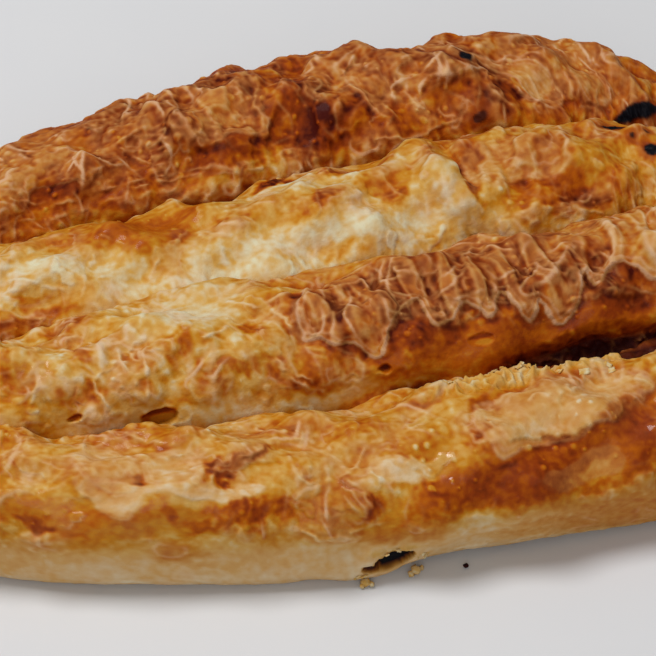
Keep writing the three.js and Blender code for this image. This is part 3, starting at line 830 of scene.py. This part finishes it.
def bare_crust(film, film_height):
    """The crust before any drawn mark, as fields over the unrolled dough.

    The browning field also holds painted shade for grooves, creases, hollows and pits; cover is how much
    loose film lies on it, dense where that film is smooth and thick, rim its pale edges, and calm the
    plain foot on the outer turn's outside. height is the buckled film's and lift what is added to it, both
    in mm.
    """
    bend = spread(film)[2]
    fold = np.clip(-bend / (2.0 * bend.std()), -1, 1)
    calm = ease(22.0, 29.0, AROUND) * ease(STARTS[3], STARTS[4], ALONG)
    gloss = paint(0.15 + 0.15 * clouds(20.0, 541), GLAZE, ragged=1.2, edge=0.7)

    bake = 0.48 + 0.16 * clouds(24.0, 501) - 0.16 * ease(30.0, 44.0, np.abs(AROUND))
    bake = paint(bake, BROWNING_AND_SHADE, ragged=1.9, edge=1.0)
    flow = clouds(9.0, 511, 4, 1.4, 1.2)
    streaks = ease(0.12, 0.5, clouds(6.0, 521, 4, 2.2, 1.0)) * ease(0.42, 0.62, bake)
    uneven = 0.30 * flow + 0.18 * streaks + 0.22 * clouds(1.9, 525, 2, 1.0, 0.5) - 0.06 * fold
    bake += uneven * (1 - 0.6 * gloss) * (1 - 0.35 * calm) * (0.6 + 0.4 * ease(0.1, 0.4, bake))

    loose = paint(0.40 + 0.15 * clouds(18.0, 531), LOOSE_FILM, ragged=1.0, edge=0.4)
    edges = loose + 0.55 * clouds(10.0, 551, 2, 1.0, 0.8)
    layered = loose + 0.6 * clouds(7.0, 555, 2, 1.0, 1.0)
    cover = ease(0.25, 0.75, edges)
    rim = np.maximum(outline(edges, 0.5, 0.42), outline(layered, 0.62, 0.36))
    rim *= 0.5 * ease(-0.12, 0.3, clouds(8.0, 571, 2))
    lift = add_strokes(np.zeros_like(bake), BULGES, ragged=0.6, edge=1.6)
    lift += film_height * (cover + ease(0.57, 0.67, layered))
    return SimpleNamespace(
        height=film[2] - FILM_BASE, lift=lift, fold=fold, bake=bake, gloss=gloss, cover=cover, rim=rim,
        calm=calm, burnt_and_shade=np.zeros_like(bake), dense=np.zeros_like(bake), grit=clouds(1.8, 611, 2),
        broken=ease(-0.35, 0.25, clouds(5.0, 601, 2)))


def lay_sheets(crust, sheet_height):
    """Lays the sheets of film: a step up, a pale hem on the edge and a line of painted shade beside it."""
    for row, pale, *points in SHEETS:
        columns, gap = line_gap(row, points, closed=True, ragged=0.7)
        front = ease(-12, -5, AROUND[columns] * ROW_ORIGINS[row][2])
        over = ease(0.25, -0.35, gap) * (0.4 + 0.6 * front)
        crust.lift[columns] += sheet_height * pale * over
        crust.cover[columns] += (0.3 + 0.65 * pale - crust.cover[columns]) * over
        crust.dense[columns] = np.maximum(crust.dense[columns], (1 - pale) * over)
        crust.gloss[columns] *= 1 - 0.6 * over
        # Painted shade: a darker line just outside the sheet's edge.
        crust.bake[columns] += 0.15 * pale * front * ease(1.5, 0.4, np.abs(gap - 0.9))
        hem = np.maximum(ease(0.6, 0.2, np.abs(gap)), 0.6 * ease(0.45, 0.15, np.abs(gap + 1.3)))
        hem = pale * front * hem * (pale + (1 - pale) * crust.broken[columns])
        crust.rim[columns] = np.maximum(crust.rim[columns], hem)


def raise_folds(crust, fold_height):
    """Raises the film's long folds, pale on top, with painted shade at both sides."""
    for row, *points in FOLDS:
        columns, gap = line_gap(row, points, ragged=0.8)
        here = FOLD_STRENGTHS[row] * crust.broken[columns]
        crust.lift[columns] += fold_height * here * ease(1.3, 0.0, gap) ** 2
        # Painted shade at the foot of each fold.
        crust.bake[columns] += 0.10 * here * ease(1.3, 0.5, np.abs(gap - 1.1))
        crust.rim[columns] = np.maximum(crust.rim[columns], 0.6 * here * ease(0.6, 0.15, gap))


def crumble(crust):
    """Breaks the crust up into grit along the crumbly stretches."""
    for *place, turned, rough in CRUMBLY:
        columns, inside = patch(*place, turned, ragged=0.8, edge=0.6)
        grit = crust.grit[columns]
        crust.lift[columns] += rough * grit * inside
        crust.bake[columns] += (0.20 + 0.5 * grit - crust.bake[columns]) * 0.8 * inside
        crust.cover[columns] *= 1 - 0.7 * inside


def crease(crust, crumpled, rim_height):
    """Creases the film where it crumpled, paints shade beside the creases, lifts its dried edges, and
    dulls the gloss below it.
    """
    creased, tops, shade = sharp_creases()
    crust.lift += rim_height * crust.rim + creased * crumpled
    crust.rim = np.maximum(crust.rim, tops * crumpled)
    # Painted shade beside each crease.
    crust.bake += 0.14 * shade * crumpled
    crust.gloss *= 1 - 0.7 * crust.cover


def blister(crust):
    """Raises small pale blisters where the crust browned, and then paints shade into what lies in hollows.
    """
    blisters = dots(BLISTER_SPACING, 581, BLISTER_LEAST, BLISTER_MOST)
    blisters = blisters * ease(0.1, 0.5, clouds(16.0, 591) + crust.bake - 0.4)
    crust.lift += BLISTER_HEIGHT * blisters
    crust.bake -= BLISTER_PALING * blisters
    relief = crust.height + crust.lift
    hollow = np.clip(smoothed(relief, HOLLOW_REACH) - relief, -HOLLOW_DEPTH, HOLLOW_DEPTH)
    # Painted shade: hollows are darkened for their depth.
    crust.bake += HOLLOW_SHADING * hollow


def open_holes(crust):
    """Sinks the holes and pits, with a raised lip round each and no film or gloss inside, paints black
    shade into the torn openings and shade under each pit's upper edge.
    """
    for *place, turned, depth, lip, black_and_shade in HOLES:
        columns, inside = patch(*place, turned, ragged=0.45, edge=0.3)
        crust.height[columns] *= 1 - inside
        crust.lift[columns] += lip * 4 * inside * (1 - inside) - depth * inside
        crust.bake[columns] += (0.6 - crust.bake[columns]) * inside
        # Painted shade: the torn openings are made black inside.
        crust.burnt_and_shade[columns] = np.maximum(crust.burnt_and_shade[columns], black_and_shade * ease(0.4, 0.9, inside))
        for field in (crust.gloss, crust.cover, crust.rim):
            field[columns] *= 1 - inside
    crust.bake = paint(crust.bake, HOLE_SHADING, ragged=0.4, edge=0.5)


def burn_spots_and_groove_shade(crust):
    """Burns the black spots, gritty and bare of film, in a brown ring a little wider than each, and paints
    the groove's dark strips and their ring as shade.
    """
    for *place, turned, black_and_shade in BURNT_AND_GROOVE_SHADE:
        row, x, down, half_x, half_down = place
        columns, scorch_and_shade = patch(row, x, down, half_x + SCORCH_AND_SHADE_ALONG, half_down + SCORCH_AND_SHADE_ACROSS,
                                  turned, ragged=0.8, edge=0.9)
        crust.bake[columns] += (0.85 - crust.bake[columns]) * 0.6 * scorch_and_shade
        columns, inside = patch(*place, turned, ragged=0.4, edge=0.3)
        crust.burnt_and_shade[columns] = np.maximum(crust.burnt_and_shade[columns], black_and_shade * inside)
        crust.lift[columns] += (0.15 + 0.8 * crust.grit[columns]) * inside
        crust.cover[columns] *= 1 - inside


def unrolled_marks(film_height, sheet_height, rim_height, fold_height):
    """Everything that shows on the crust, as named fields over the unrolled dough. Sizes are in mm."""
    slack = film_slack()
    film = slack_film(slack)
    crust = bare_crust(film, film_height)
    lay_sheets(crust, sheet_height)
    raise_folds(crust, fold_height)
    crumpled = ease(0.0, 0.10, slack[..., 0] + slack[..., 1]) * (0.3 + 0.7 * crust.cover)
    crumpled = crumpled * (1 - 0.8 * crust.calm) * (1 - crust.dense)
    crust.cover = np.maximum(crust.cover, 0.6 * crust.calm)
    crumble(crust)
    crease(crust, crumpled, rim_height)
    blister(crust)
    open_holes(crust)
    burn_spots_and_groove_shade(crust)
    thin = 0.40 + (0.5 * clouds(6.0, 575) + 0.35 * crust.fold) * (1 - 0.7 * crust.calm)
    thin = thin + 0.25 * crust.calm + 0.6 * crust.dense
    return {"along": film[0], "around": film[1], "lift": crust.height + crust.lift, "bake": crust.bake,
            "loose": np.clip(np.maximum(crust.cover * thin, 0.85 * crust.rim), 0, 1),
            "gloss": np.clip(crust.gloss, 0, 1) ** 2, "burnt_and_shade": crust.burnt_and_shade, "rim": crust.rim}


def at_places(field, distance, around):
    """A field over the unrolled dough read between its cells."""
    column = np.clip(distance / CELL, 0, COLUMNS - 1.001)
    line = np.clip((around + HALF_SPAN) / CELL, 0, LINES - 1.001)
    i, j = column.astype(int), line.astype(int)
    fx, fy = column - i, line - j
    near = field[i, j] * (1 - fx) + field[i + 1, j] * fx
    far = field[i, j + 1] * (1 - fx) + field[i + 1, j + 1] * fx
    return near * (1 - fy) + far * fy


# ---------------------------------------------------------------- meshes

# The browning layer and the black layer also carry painted shade.
SKIN_LAYERS = ("bake", "loose", "gloss", "burnt_and_shade", "rim")
# Radius of the plain tube that a length starts as, in steps along it.
TUBE_RADIUS = 50


def finished_mesh(bm, name):
    """Turns a bmesh into a mesh and frees it."""
    mesh = bpy.data.meshes.new(name)
    bm.to_mesh(mesh)
    bm.free()
    return mesh


def smooth_mesh(bm, name):
    """The same for a closed shape: its faces are turned outwards and shaded smooth."""
    bmesh.ops.recalc_face_normals(bm, faces=bm.faces)
    for face in bm.faces:
        face.smooth = True
    return finished_mesh(bm, name)


def link_piece(mesh, material):
    """Puts a mesh in the scene as a piece of the loaf."""
    piece = bpy.data.objects.new(mesh.name, mesh)
    bpy.context.scene.collection.objects.link(piece)
    mesh.materials.append(material)
    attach(piece, "root")
    return piece


def capped_tube(name, columns, lines):
    """A closed tube of `columns` by `lines` cells, with each corner's column and line kept.

    The middle of each end has the line `lines`.
    """
    bm = bmesh.new()
    bmesh.ops.create_grid(bm, x_segments=columns - 1, y_segments=lines - 1, size=0.5)
    layers = [bm.verts.layers.int.new(key) for key in ("column", "line")]
    for vert in bm.verts:
        column = round((vert.co.x + 0.5) * (columns - 1))
        line = round((vert.co.y + 0.5) * (lines - 1))
        vert[layers[0]], vert[layers[1]] = column, line
        angle = 2 * math.pi * line / (lines - 1)
        vert.co = (column, math.cos(angle) * TUBE_RADIUS, math.sin(angle) * TUBE_RADIUS)
    seam = [vert for vert in bm.verts if vert[layers[1]] in (0, lines - 1)]
    bmesh.ops.remove_doubles(bm, verts=seam, dist=1e-4)
    caps = bmesh.ops.holes_fill(bm, edges=[e for e in bm.edges if e.is_boundary], sides=0)["faces"]
    for vert in bmesh.ops.poke(bm, faces=caps)["verts"]:
        vert[layers[0]], vert[layers[1]] = round(vert.co.x), lines
    return smooth_mesh(bm, name)


def read_layer(mesh, name):
    """A whole-number layer of a mesh as an array."""
    values = np.zeros(len(mesh.vertices), np.int32)
    mesh.attributes[name].data.foreach_get("value", values)
    return values


@functools.cache
def rope_skin(*heights):
    """The whole crumpled skin, as rings down the rope and places round each.

    It gives each ring's distance down the rope, each place's mm from the top of the smooth rope,
    places in mm, normals, and the named layers. The middle of each ring is its last place.
    """
    marks = unrolled_marks(*heights)
    rings = stations()
    places, around = smooth_rope(rings, full_section())
    distance = np.array([ring["distance"] for ring in rings])[:, None] + np.zeros_like(around)
    here = {key: at_places(field, distance, around) for key, field in marks.items()}
    down_rope, round_rope, out = directions(places)
    places += out * here["lift"][..., None] + down_rope * here["along"][..., None]
    places += round_rope * here["around"][..., None]
    places[..., 2] = np.maximum(places[..., 2], 0.0)
    normals = directions(places)[2]
    places = np.concatenate([places, places.mean(axis=1, keepdims=True)], axis=1)
    normals, *layers = (np.concatenate([values, values[:, :1]], axis=1)
                        for values in (normals, *(here[key] for key in SKIN_LAYERS)))
    return distance[:, 0], around, places, normals, dict(zip(SKIN_LAYERS, layers))


def rope_piece(name, part, skin, material):
    """One length of the rope, closed at both ends, with its layers and its smooth shading."""
    places, normals, layers = skin[2:]
    mesh = capped_tube(name, part.stop - part.start, places.shape[1] - 1)
    cells = (read_layer(mesh, "column") + part.start, read_layer(mesh, "line"))
    mesh.vertices.foreach_set("co", (places[cells] * MM).ravel())
    for key in SKIN_LAYERS:
        layer = mesh.attributes.new(key, "FLOAT", "POINT")
        layer.data.foreach_set("value", layers[key][cells].astype(np.float32))
    for key in ("column", "line"):
        mesh.attributes.remove(mesh.attributes[key])
    mesh.normals_split_custom_set_from_vertices(normals[cells])
    return link_piece(mesh, material)


def on_skin(skin, row, x, down):
    """The place in metres and the outward direction at X and mm down the front of a row."""
    distance, around, places, normals, _ = skin
    origin, way, front = ROW_ORIGINS[row]
    ring = np.searchsorted(distance, origin + way * (x + BOX_MIDDLE[0]))
    line = np.argmin(np.abs(around[ring] - down * front))
    return Vector(places[ring, line] * MM), Vector(normals[ring, line])


# ---------------------------------------------------------------- loose flakes and crumbs

# Flakes of dry film: row, lowest and highest X, lowest and highest mm down, how many, and size in mm.
FLAKES = (
    (0, 18.0, 48.0, -14.0, -9.0, 12, 2.4), (0, 28.0, 60.0, -9.0, -6.0, 7, 2.2),
    (0, -5.0, 4.0, 31.4, 32.4, 9, 1.6), (0, -9.5, -6.5, 36.5, 39.0, 5, 2.4),
    (0, 4.0, 7.5, 35.0, 38.5, 7, 2.2),
    (0, 21.0, 24.0, 34.0, 35.0, 2, 2.6),
)
# Crumbs on the table: X, Y and size in mm.
PALE_CRUMBS = ((-7.2, -74.4, 2.2), (-6.0, -75.0, 1.4), (-8.2, -74.8, 1.2), (4.6, -74.0, 2.2),
               (3.4, -74.6, 1.5), (6.2, -73.4, 1.3))
BURNT_CRUMBS = ((16.0, -75.6, 1.2),)
FLAKE_CELLS = 4
# How far a flake's cells are torn out of line, and its thickness, as shares of its size.
FLAKE_TORN, FLAKE_THICKNESS = 0.22, 0.09
# Mm that a flake is sunk into the crust, and a crumb's middle over the table as a share of its size.
FLAKE_SINK, CRUMB_HEIGHT = 0.2, 0.55
FLAKE_SEED, CRUMB_SEED = 11, 12


def add_flake(bm, place, out, size, rng):
    """One thin curled flake, lying on the skin with one side lifted."""
    made = bmesh.ops.create_grid(bm, x_segments=FLAKE_CELLS, y_segments=FLAKE_CELLS, size=0.5)["verts"]
    curl, lean = rng.uniform(0.1, 0.5), rng.uniform(0.0, 0.35)
    for vert in made:
        x, y = vert.co.x, vert.co.y
        torn = 1 + rng.uniform(-FLAKE_TORN, FLAKE_TORN)
        vert.co = (x * torn, y * torn * rng.uniform(0.5, 0.7), curl * x * x + lean * (x + 0.5))
    faces = list({face for vert in made for face in vert.link_faces})
    bmesh.ops.smooth_vert(bm, verts=made, factor=0.3, use_axis_x=True, use_axis_y=True,
                          use_axis_z=True)
    solid = bmesh.ops.solidify(bm, geom=faces, thickness=FLAKE_THICKNESS)["geom"]
    made = list({vert for face in faces + [g for g in solid if isinstance(g, bmesh.types.BMFace)]
                 for vert in face.verts})
    turn = out.to_track_quat("Z", "X").to_matrix() @ Matrix.Rotation(rng.uniform(0, 2 * math.pi), 3, "Z")
    for vert in made:
        vert.co = place + turn @ (vert.co * size * MM)


def add_crumb(bm, place, size, rng):
    """One rough crumb."""
    made = bmesh.ops.create_icosphere(bm, subdivisions=2, radius=0.5)["verts"]
    for vert in made:
        vert.co = place + vert.co * (size * MM * rng.uniform(0.75, 1.2))


def loose_piece(name, material, build, *places):
    """A piece of many small bits, made by a function that adds them to a bmesh."""
    bm = bmesh.new()
    build(bm, *places)
    return link_piece(smooth_mesh(bm, name), material)


def build_flakes(bm, skin, scale):
    """Strews the flakes over their stretches of crust."""
    rng = random.Random(FLAKE_SEED)
    for row, low, high, least, most, count, size in FLAKES:
        for _ in range(count):
            place, out = on_skin(skin, row, rng.uniform(low, high), rng.uniform(least, most))
            add_flake(bm, place - out * FLAKE_SINK * MM, out, scale * size * rng.uniform(0.5, 1.1), rng)


def build_crumbs(bm, places, scale):
    """Sets crumbs down on the table."""
    rng = random.Random(CRUMB_SEED)
    for x, y, size in places:
        add_crumb(bm, Vector((x, y, scale * size * CRUMB_HEIGHT)) * MM, scale * size, rng)


# ---------------------------------------------------------------- materials

def linear(text):
    """An sRGB hex colour as a linear RGBA tuple."""
    parts = [int(text[i:i + 2], 16) / 255 for i in (1, 3, 5)]
    return tuple(c / 12.92 if c <= 0.04045 else ((c + 0.055) / 1.055) ** 2.4 for c in parts) + (1.0,)


def add_node(tree, kind, settings=None, inputs=None):
    """Adds a node, sets its properties, and gives each input a value or links an output to it."""
    node = tree.nodes.new(kind)
    for key, value in (settings or {}).items():
        setattr(node, key, value)
    for key, value in (inputs or {}).items():
        if isinstance(value, bpy.types.NodeSocket):
            tree.links.new(value, node.inputs[key])
        else:
            node.inputs[key].default_value = value
    return node


def new_material(name):
    """An empty material, its node tree and its shader."""
    material = bpy.data.materials.new(name)
    material.use_nodes = True
    tree = material.node_tree
    tree.nodes.clear()
    shader = add_node(tree, "ShaderNodeBsdfPrincipled")
    add_node(tree, "ShaderNodeOutputMaterial", inputs={"Surface": shader.outputs["BSDF"]})
    return material, tree, shader


def set_ramp(node, stops):
    """Fills a colour ramp with (position, linear colour) stops."""
    ramp = node.color_ramp
    while len(ramp.elements) < len(stops):
        ramp.elements.new(0.5)
    for element, (position, colour) in zip(ramp.elements, stops):
        element.position = position
        element.color = tuple(colour)[:3] + (1.0,)


# A colour Mix node's sockets.
MIX_A, MIX_B, MIX_RESULT = 6, 7, 2

# How far the mottle shifts the browning, and the mm across the spots of each pattern.
MOTTLE = 0.17
MOTTLE_SPOTS, GRAIN_SPOTS, FLAKE_SPECKS, PAPER_TOOTH = 3.03, 0.769, 1.11, 25
# How deep the grain looks, in metres.
GRAIN_DEPTH = 0.0003
# How much less browned a dried edge of film looks than the crust around it.
RIM_PALING = 0.6
# Roughness and coat of matt crust and of crust glazed with egg.
MATT_ROUGHNESS, GLAZED_ROUGHNESS, GLAZED_COAT = 0.62, 0.28, 0.6


def crust_material(colours):
    """Dough brushed with egg and baked: cream where raw, orange-brown and shiny where it browned.

    The skin's layers give browning with painted shade in grooves, creases, hollows and pits, loose film,
    its pale edges, gloss, and burnt spots with painted black shade in the torn openings and the deepest
    groove. Noise 3 mm across mottles the browning, and noise under 1 mm gives the baked skin its grain.
    """
    material, tree, shader = new_material("egg-washed baked dough")
    place = add_node(tree, "ShaderNodeTexCoord").outputs["Object"]
    layers = {key: add_node(tree, "ShaderNodeAttribute", {"attribute_name": key}).outputs["Fac"]
              for key in SKIN_LAYERS}
    mottle = add_node(tree, "ShaderNodeTexNoise", inputs={
        "Vector": place, "Scale": 1 / (MOTTLE_SPOTS * MM), "Detail": 5.0, "Roughness": 0.6})
    grain = add_node(tree, "ShaderNodeTexNoise", inputs={"Vector": place,
                                                         "Scale": 1 / (GRAIN_SPOTS * MM)})
    mixture = add_node(tree, "ShaderNodeMath", {"operation": "MULTIPLY_ADD"},
                       {0: mottle.outputs["Fac"], 1: MOTTLE, 2: layers["bake"]})
    # The browning layer includes painted shade in grooves, creases, hollows and pits.
    bake = add_node(tree, "ShaderNodeMath", {"operation": "SUBTRACT"},
                    {0: mixture.outputs[0], 1: MOTTLE / 2})
    crust = add_node(tree, "ShaderNodeValToRGB", inputs={"Fac": bake.outputs[0]})
    set_ramp(crust, ((0.0, colours.raw), (0.2, colours.tan), (0.36, colours.golden),
                     (0.54, colours.orange_brown), (0.72, colours.brown), (1.0, colours.dark)))
    film_bake_and_shade = add_node(tree, "ShaderNodeMath", {"operation": "MULTIPLY_ADD"},
                         {0: layers["rim"], 1: -RIM_PALING, 2: bake.outputs[0]})
    film = add_node(tree, "ShaderNodeValToRGB", inputs={"Fac": film_bake_and_shade.outputs[0]})
    set_ramp(film, ((0.05, colours.film_pale), (0.45, colours.film_tan), (0.9, colours.film_brown)))
    covered = add_node(tree, "ShaderNodeMix", {"data_type": "RGBA"},
                       {0: layers["loose"], MIX_A: crust.outputs["Color"],
                        MIX_B: film.outputs["Color"]})
    # Black of burnt spots, and painted black shade in the torn openings and the deepest groove.
    burnt_and_shade = add_node(tree, "ShaderNodeMix", {"data_type": "RGBA"},
                     {0: layers["burnt_and_shade"], MIX_A: covered.outputs[MIX_RESULT],
                      MIX_B: tuple(colours.burnt_and_shade) + (1.0,)})
    rough = add_node(tree, "ShaderNodeMath", {"operation": "MULTIPLY_ADD"},
                     {0: layers["gloss"], 1: GLAZED_ROUGHNESS - MATT_ROUGHNESS, 2: MATT_ROUGHNESS})
    coat = add_node(tree, "ShaderNodeMath", {"operation": "MULTIPLY"},
                    {0: layers["gloss"], 1: GLAZED_COAT})
    bump = add_node(tree, "ShaderNodeBump", inputs={"Strength": 0.4, "Distance": GRAIN_DEPTH,
                                                    "Height": grain.outputs["Fac"]})
    for key, socket in (("Base Color", burnt_and_shade.outputs[MIX_RESULT]), ("Roughness", rough.outputs[0]),
                        ("Coat Weight", coat.outputs[0]), ("Normal", bump.outputs["Normal"])):
        tree.links.new(socket, shader.inputs[key])
    shader.inputs["Specular IOR Level"].default_value = 0.06
    shader.inputs["Coat Roughness"].default_value = 0.14
    return material


def flake_material(name, light, browned):
    """Thin dough that dried apart from the crust: matt, and browned in specks 1 mm across."""
    material, tree, shader = new_material(name)
    place = add_node(tree, "ShaderNodeTexCoord").outputs["Object"]
    specks = add_node(tree, "ShaderNodeTexNoise", inputs={
        "Vector": place, "Scale": 1 / (FLAKE_SPECKS * MM), "Detail": 3.0})
    tone = add_node(tree, "ShaderNodeValToRGB", inputs={"Fac": specks.outputs["Fac"]})
    set_ramp(tone, ((0.25, light), (0.6, browned)))
    tree.links.new(tone.outputs["Color"], shader.inputs["Base Color"])
    shader.inputs["Roughness"].default_value = 0.7
    shader.inputs["Specular IOR Level"].default_value = 0.1
    return material


def floor_material():
    """Matt pale paper sweep: nearly even, with a faint tooth that keeps it from looking flat."""
    material, tree, shader = new_material("matt white paper")
    place = add_node(tree, "ShaderNodeTexCoord").outputs["Object"]
    grain = add_node(tree, "ShaderNodeTexNoise", inputs={"Vector": place, "Scale": 1 / (PAPER_TOOTH * MM)})
    tone = add_node(tree, "ShaderNodeValToRGB", inputs={"Fac": grain.outputs["Fac"]})
    set_ramp(tone, ((0.0, linear("#D6D7D9")), (1.0, linear("#D9D9DA"))))
    tree.links.new(tone.outputs["Color"], shader.inputs["Base Color"])
    shader.inputs["Roughness"].default_value = 0.9
    return material


# ---------------------------------------------------------------- settings

def colour_setting(name, description, hex_colour):
    return FloatVectorProperty(name=name, description=description, subtype="COLOR", size=3,
                               default=linear(hex_colour)[:3], min=0.0, max=1.0)


def length_setting(name, description, millimetres):
    return FloatProperty(name=name, description=description, default=millimetres * MM, min=0.0,
                         precision=5, unit="LENGTH")


class BorekCrustSettings(bpy.types.PropertyGroup):
    raw: colour_setting("Raw dough", "Dough that hardly browned", "#D4CCAA")
    tan: colour_setting("Tan", "Dough baked to a light tan", "#CB9E50")
    golden: colour_setting("Golden", "Golden crust", "#BE7D1C")
    orange_brown: colour_setting("Orange-brown", "Egg wash baked orange-brown", "#AC5504")
    brown: colour_setting("Brown", "Well browned crust", "#8A3606")
    dark: colour_setting("Dark", "Nearly burnt crust", "#430C04")
    # Also the black of painted shade in the torn openings and the deepest groove.
    burnt_and_shade: colour_setting("Burnt", "Spots burnt black", "#0B0A10")
    film_pale: colour_setting("Pale film", "Loose film over pale dough", "#D4AC88")
    film_tan: colour_setting("Tan film", "Loose film over golden crust", "#BC854C")
    film_brown: colour_setting("Brown film", "Loose film over dark crust", "#89461B")


class BorekSizeSettings(bpy.types.PropertyGroup):
    film: length_setting("Film", "Thickness of the loose outer film", 0.28)
    sheet: length_setting("Sheet", "Thickness of the largest sheets of film", 0.40)
    rim: length_setting("Rim", "How far the film's dried edges stand up", 0.14)
    fold: length_setting("Fold", "Height of the film's longest folds", 0.35)
    bits: FloatProperty(name="Flakes and crumbs", description="Their size beside the measured one",
                        default=1.0, min=0.1, max=3.0)


class BorekStageSettings(bpy.types.PropertyGroup):
    azimuth: FloatProperty(name="Azimuth", description="Camera's turn round the loaf",
                           default=math.radians(-16.5), subtype="ANGLE")
    elevation: FloatProperty(name="Elevation", description="Camera's height angle",
                             default=math.radians(44.0), subtype="ANGLE")
    distance: FloatProperty(name="Distance", description="Camera to target", default=0.7,
                            unit="LENGTH")
    lens: FloatProperty(name="Lens", description="Focal length on a 36 mm sensor", default=162.2,
                        unit="CAMERA")
    target: FloatVectorProperty(name="Target", description="Point that the camera looks at",
                                default=(0.0039, -0.0072, 0.015), subtype="XYZ", unit="LENGTH")
    overhead_power: FloatProperty(name="Overhead power", description="The large soft light's power",
                                  default=9.2, min=0.0, unit="POWER")
    overhead_size: FloatProperty(name="Overhead size", description="The large soft light's width",
                                 default=0.5, min=0.01, unit="LENGTH")
    fill_power: FloatProperty(name="Fill power", description="The front light's power",
                              default=3.4, min=0.0, unit="POWER")
    sky: FloatProperty(name="Room light", description="Even light from all round", default=0.26,
                       min=0.0)


# ---------------------------------------------------------------- operators

def sized_skin(context):
    """The rope's skin at the sizes set in the panel, which are in metres."""
    sizes = context.scene.borek_sizes
    return rope_skin(*(size / MM for size in (sizes.film, sizes.sheet, sizes.rim, sizes.fold)))


class BOREK_OT_rope(bpy.types.Operator):
    """Model the coiled rope in lengths that replace the plain solid"""

    bl_idname = "borek.rope"
    bl_label = "Coiled rope"

    def execute(self, context):
        material = crust_material(context.scene.borek_crust)
        skin = sized_skin(context)
        ends = np.searchsorted(skin[0], np.array(CUTS) - 1e-6)
        for number, (first, last) in enumerate(zip(ends, ends[1:])):
            name = "rope_length_%02d" % (number + 1)
            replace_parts(rope_piece(name, slice(first, last + 1), skin, material), "borek")
        return {"FINISHED"}


class BOREK_OT_flakes(bpy.types.Operator):
    """Add the dry flakes on the crust and the crumbs that fell by the tear"""

    bl_idname = "borek.flakes"
    bl_label = "Flakes and crumbs"

    def execute(self, context):
        colours = context.scene.borek_crust
        scale = context.scene.borek_sizes.bits
        pale = flake_material("dry flaked dough", colours.raw, colours.tan)
        loose_piece("film_flakes", pale, build_flakes, sized_skin(context), scale)
        loose_piece("pale_crumbs", pale, build_crumbs, PALE_CRUMBS, scale)
        dark = flake_material("burnt crumb", colours.dark, colours.burnt_and_shade)
        loose_piece("burnt_crumbs", dark, build_crumbs, BURNT_CRUMBS, scale)
        return {"FINISHED"}


# Where the lights stand, how wide the front one is, and the floor's half width, in metres.
OVERHEAD_PLACE = (-0.30, 0.16, 1.1)
FILL_PLACE = (-0.35, -1.1, 0.8)
FILL_SIZE = 0.8
FLOOR_REACH = 3.0
WHITE = (1.0, 1.0, 1.0, 1.0)
SENSOR_WIDTH = 36.0


class BOREK_OT_stage(bpy.types.Operator):
    """Set up the pale floor, the soft light and the camera"""

    bl_idname = "borek.stage"
    bl_label = "Stage"

    def execute(self, context):
        scene = context.scene
        settings = scene.borek_stage
        bm = bmesh.new()
        bmesh.ops.create_grid(bm, x_segments=1, y_segments=1, size=FLOOR_REACH)
        floor = bpy.data.objects.new("floor", finished_mesh(bm, "floor"))
        floor.data.materials.append(floor_material())
        scene.collection.objects.link(floor)

        self.add_light(scene, "overhead_softbox", OVERHEAD_PLACE, settings.overhead_size,
                       settings.overhead_power)
        self.add_light(scene, "front_fill", FILL_PLACE, FILL_SIZE, settings.fill_power)

        world = bpy.data.worlds.new("studio")
        world.use_nodes = True
        background = world.node_tree.nodes["Background"]
        background.inputs["Color"].default_value = WHITE
        background.inputs["Strength"].default_value = settings.sky
        scene.world = world
        scene.view_settings.view_transform = "Standard"

        target = Vector(settings.target)
        turn_by, rise = settings.azimuth, settings.elevation
        back = Vector((math.sin(turn_by) * math.cos(rise), -math.cos(turn_by) * math.cos(rise),
                       math.sin(rise)))
        camera = bpy.data.objects.new("camera", bpy.data.cameras.new("camera"))
        camera.location = target + back * settings.distance
        camera.rotation_euler = Euler((math.pi / 2 - rise, 0.0, turn_by))
        camera.data.lens = settings.lens
        camera.data.sensor_width = SENSOR_WIDTH
        scene.collection.objects.link(camera)
        scene.camera = camera
        return {"FINISHED"}

    def add_light(self, scene, name, place, size, power):
        data = bpy.data.lights.new(name, "AREA")
        data.shape = "DISK"
        data.size = size
        data.energy = power
        light = bpy.data.objects.new(name, data)
        light.location = place
        light.rotation_euler = (-Vector(place)).to_track_quat("-Z", "Y").to_euler()
        scene.collection.objects.link(light)


class BOREK_PT_panel(bpy.types.Panel):
    bl_label = "Rolled borek"
    bl_idname = "BOREK_PT_panel"
    bl_space_type = "VIEW_3D"
    bl_region_type = "UI"
    bl_category = "Borek"

    def draw(self, context):
        for operator in OPERATORS:
            self.layout.operator(operator.bl_idname)
        scene = context.scene
        for group in (scene.borek_sizes, scene.borek_crust, scene.borek_stage):
            for key in type(group).__annotations__:
                self.layout.prop(group, key)


OPERATORS = (BOREK_OT_rope, BOREK_OT_flakes, BOREK_OT_stage)
CLASSES = (BorekSizeSettings, BorekCrustSettings, BorekStageSettings, BOREK_PT_panel) + OPERATORS


def register():
    for cls in CLASSES:
        bpy.utils.register_class(cls)
    bpy.types.Scene.borek_sizes = PointerProperty(type=BorekSizeSettings)
    bpy.types.Scene.borek_crust = PointerProperty(type=BorekCrustSettings)
    bpy.types.Scene.borek_stage = PointerProperty(type=BorekStageSettings)


def unregister():
    del bpy.types.Scene.borek_stage
    del bpy.types.Scene.borek_crust
    del bpy.types.Scene.borek_sizes
    for cls in reversed(CLASSES):
        bpy.utils.unregister_class(cls)


def main():
    register()
    bpy.ops.borek.stage()
    bpy.ops.borek.rope()
    bpy.ops.borek.flakes()


if __name__ == "__main__":
    main()
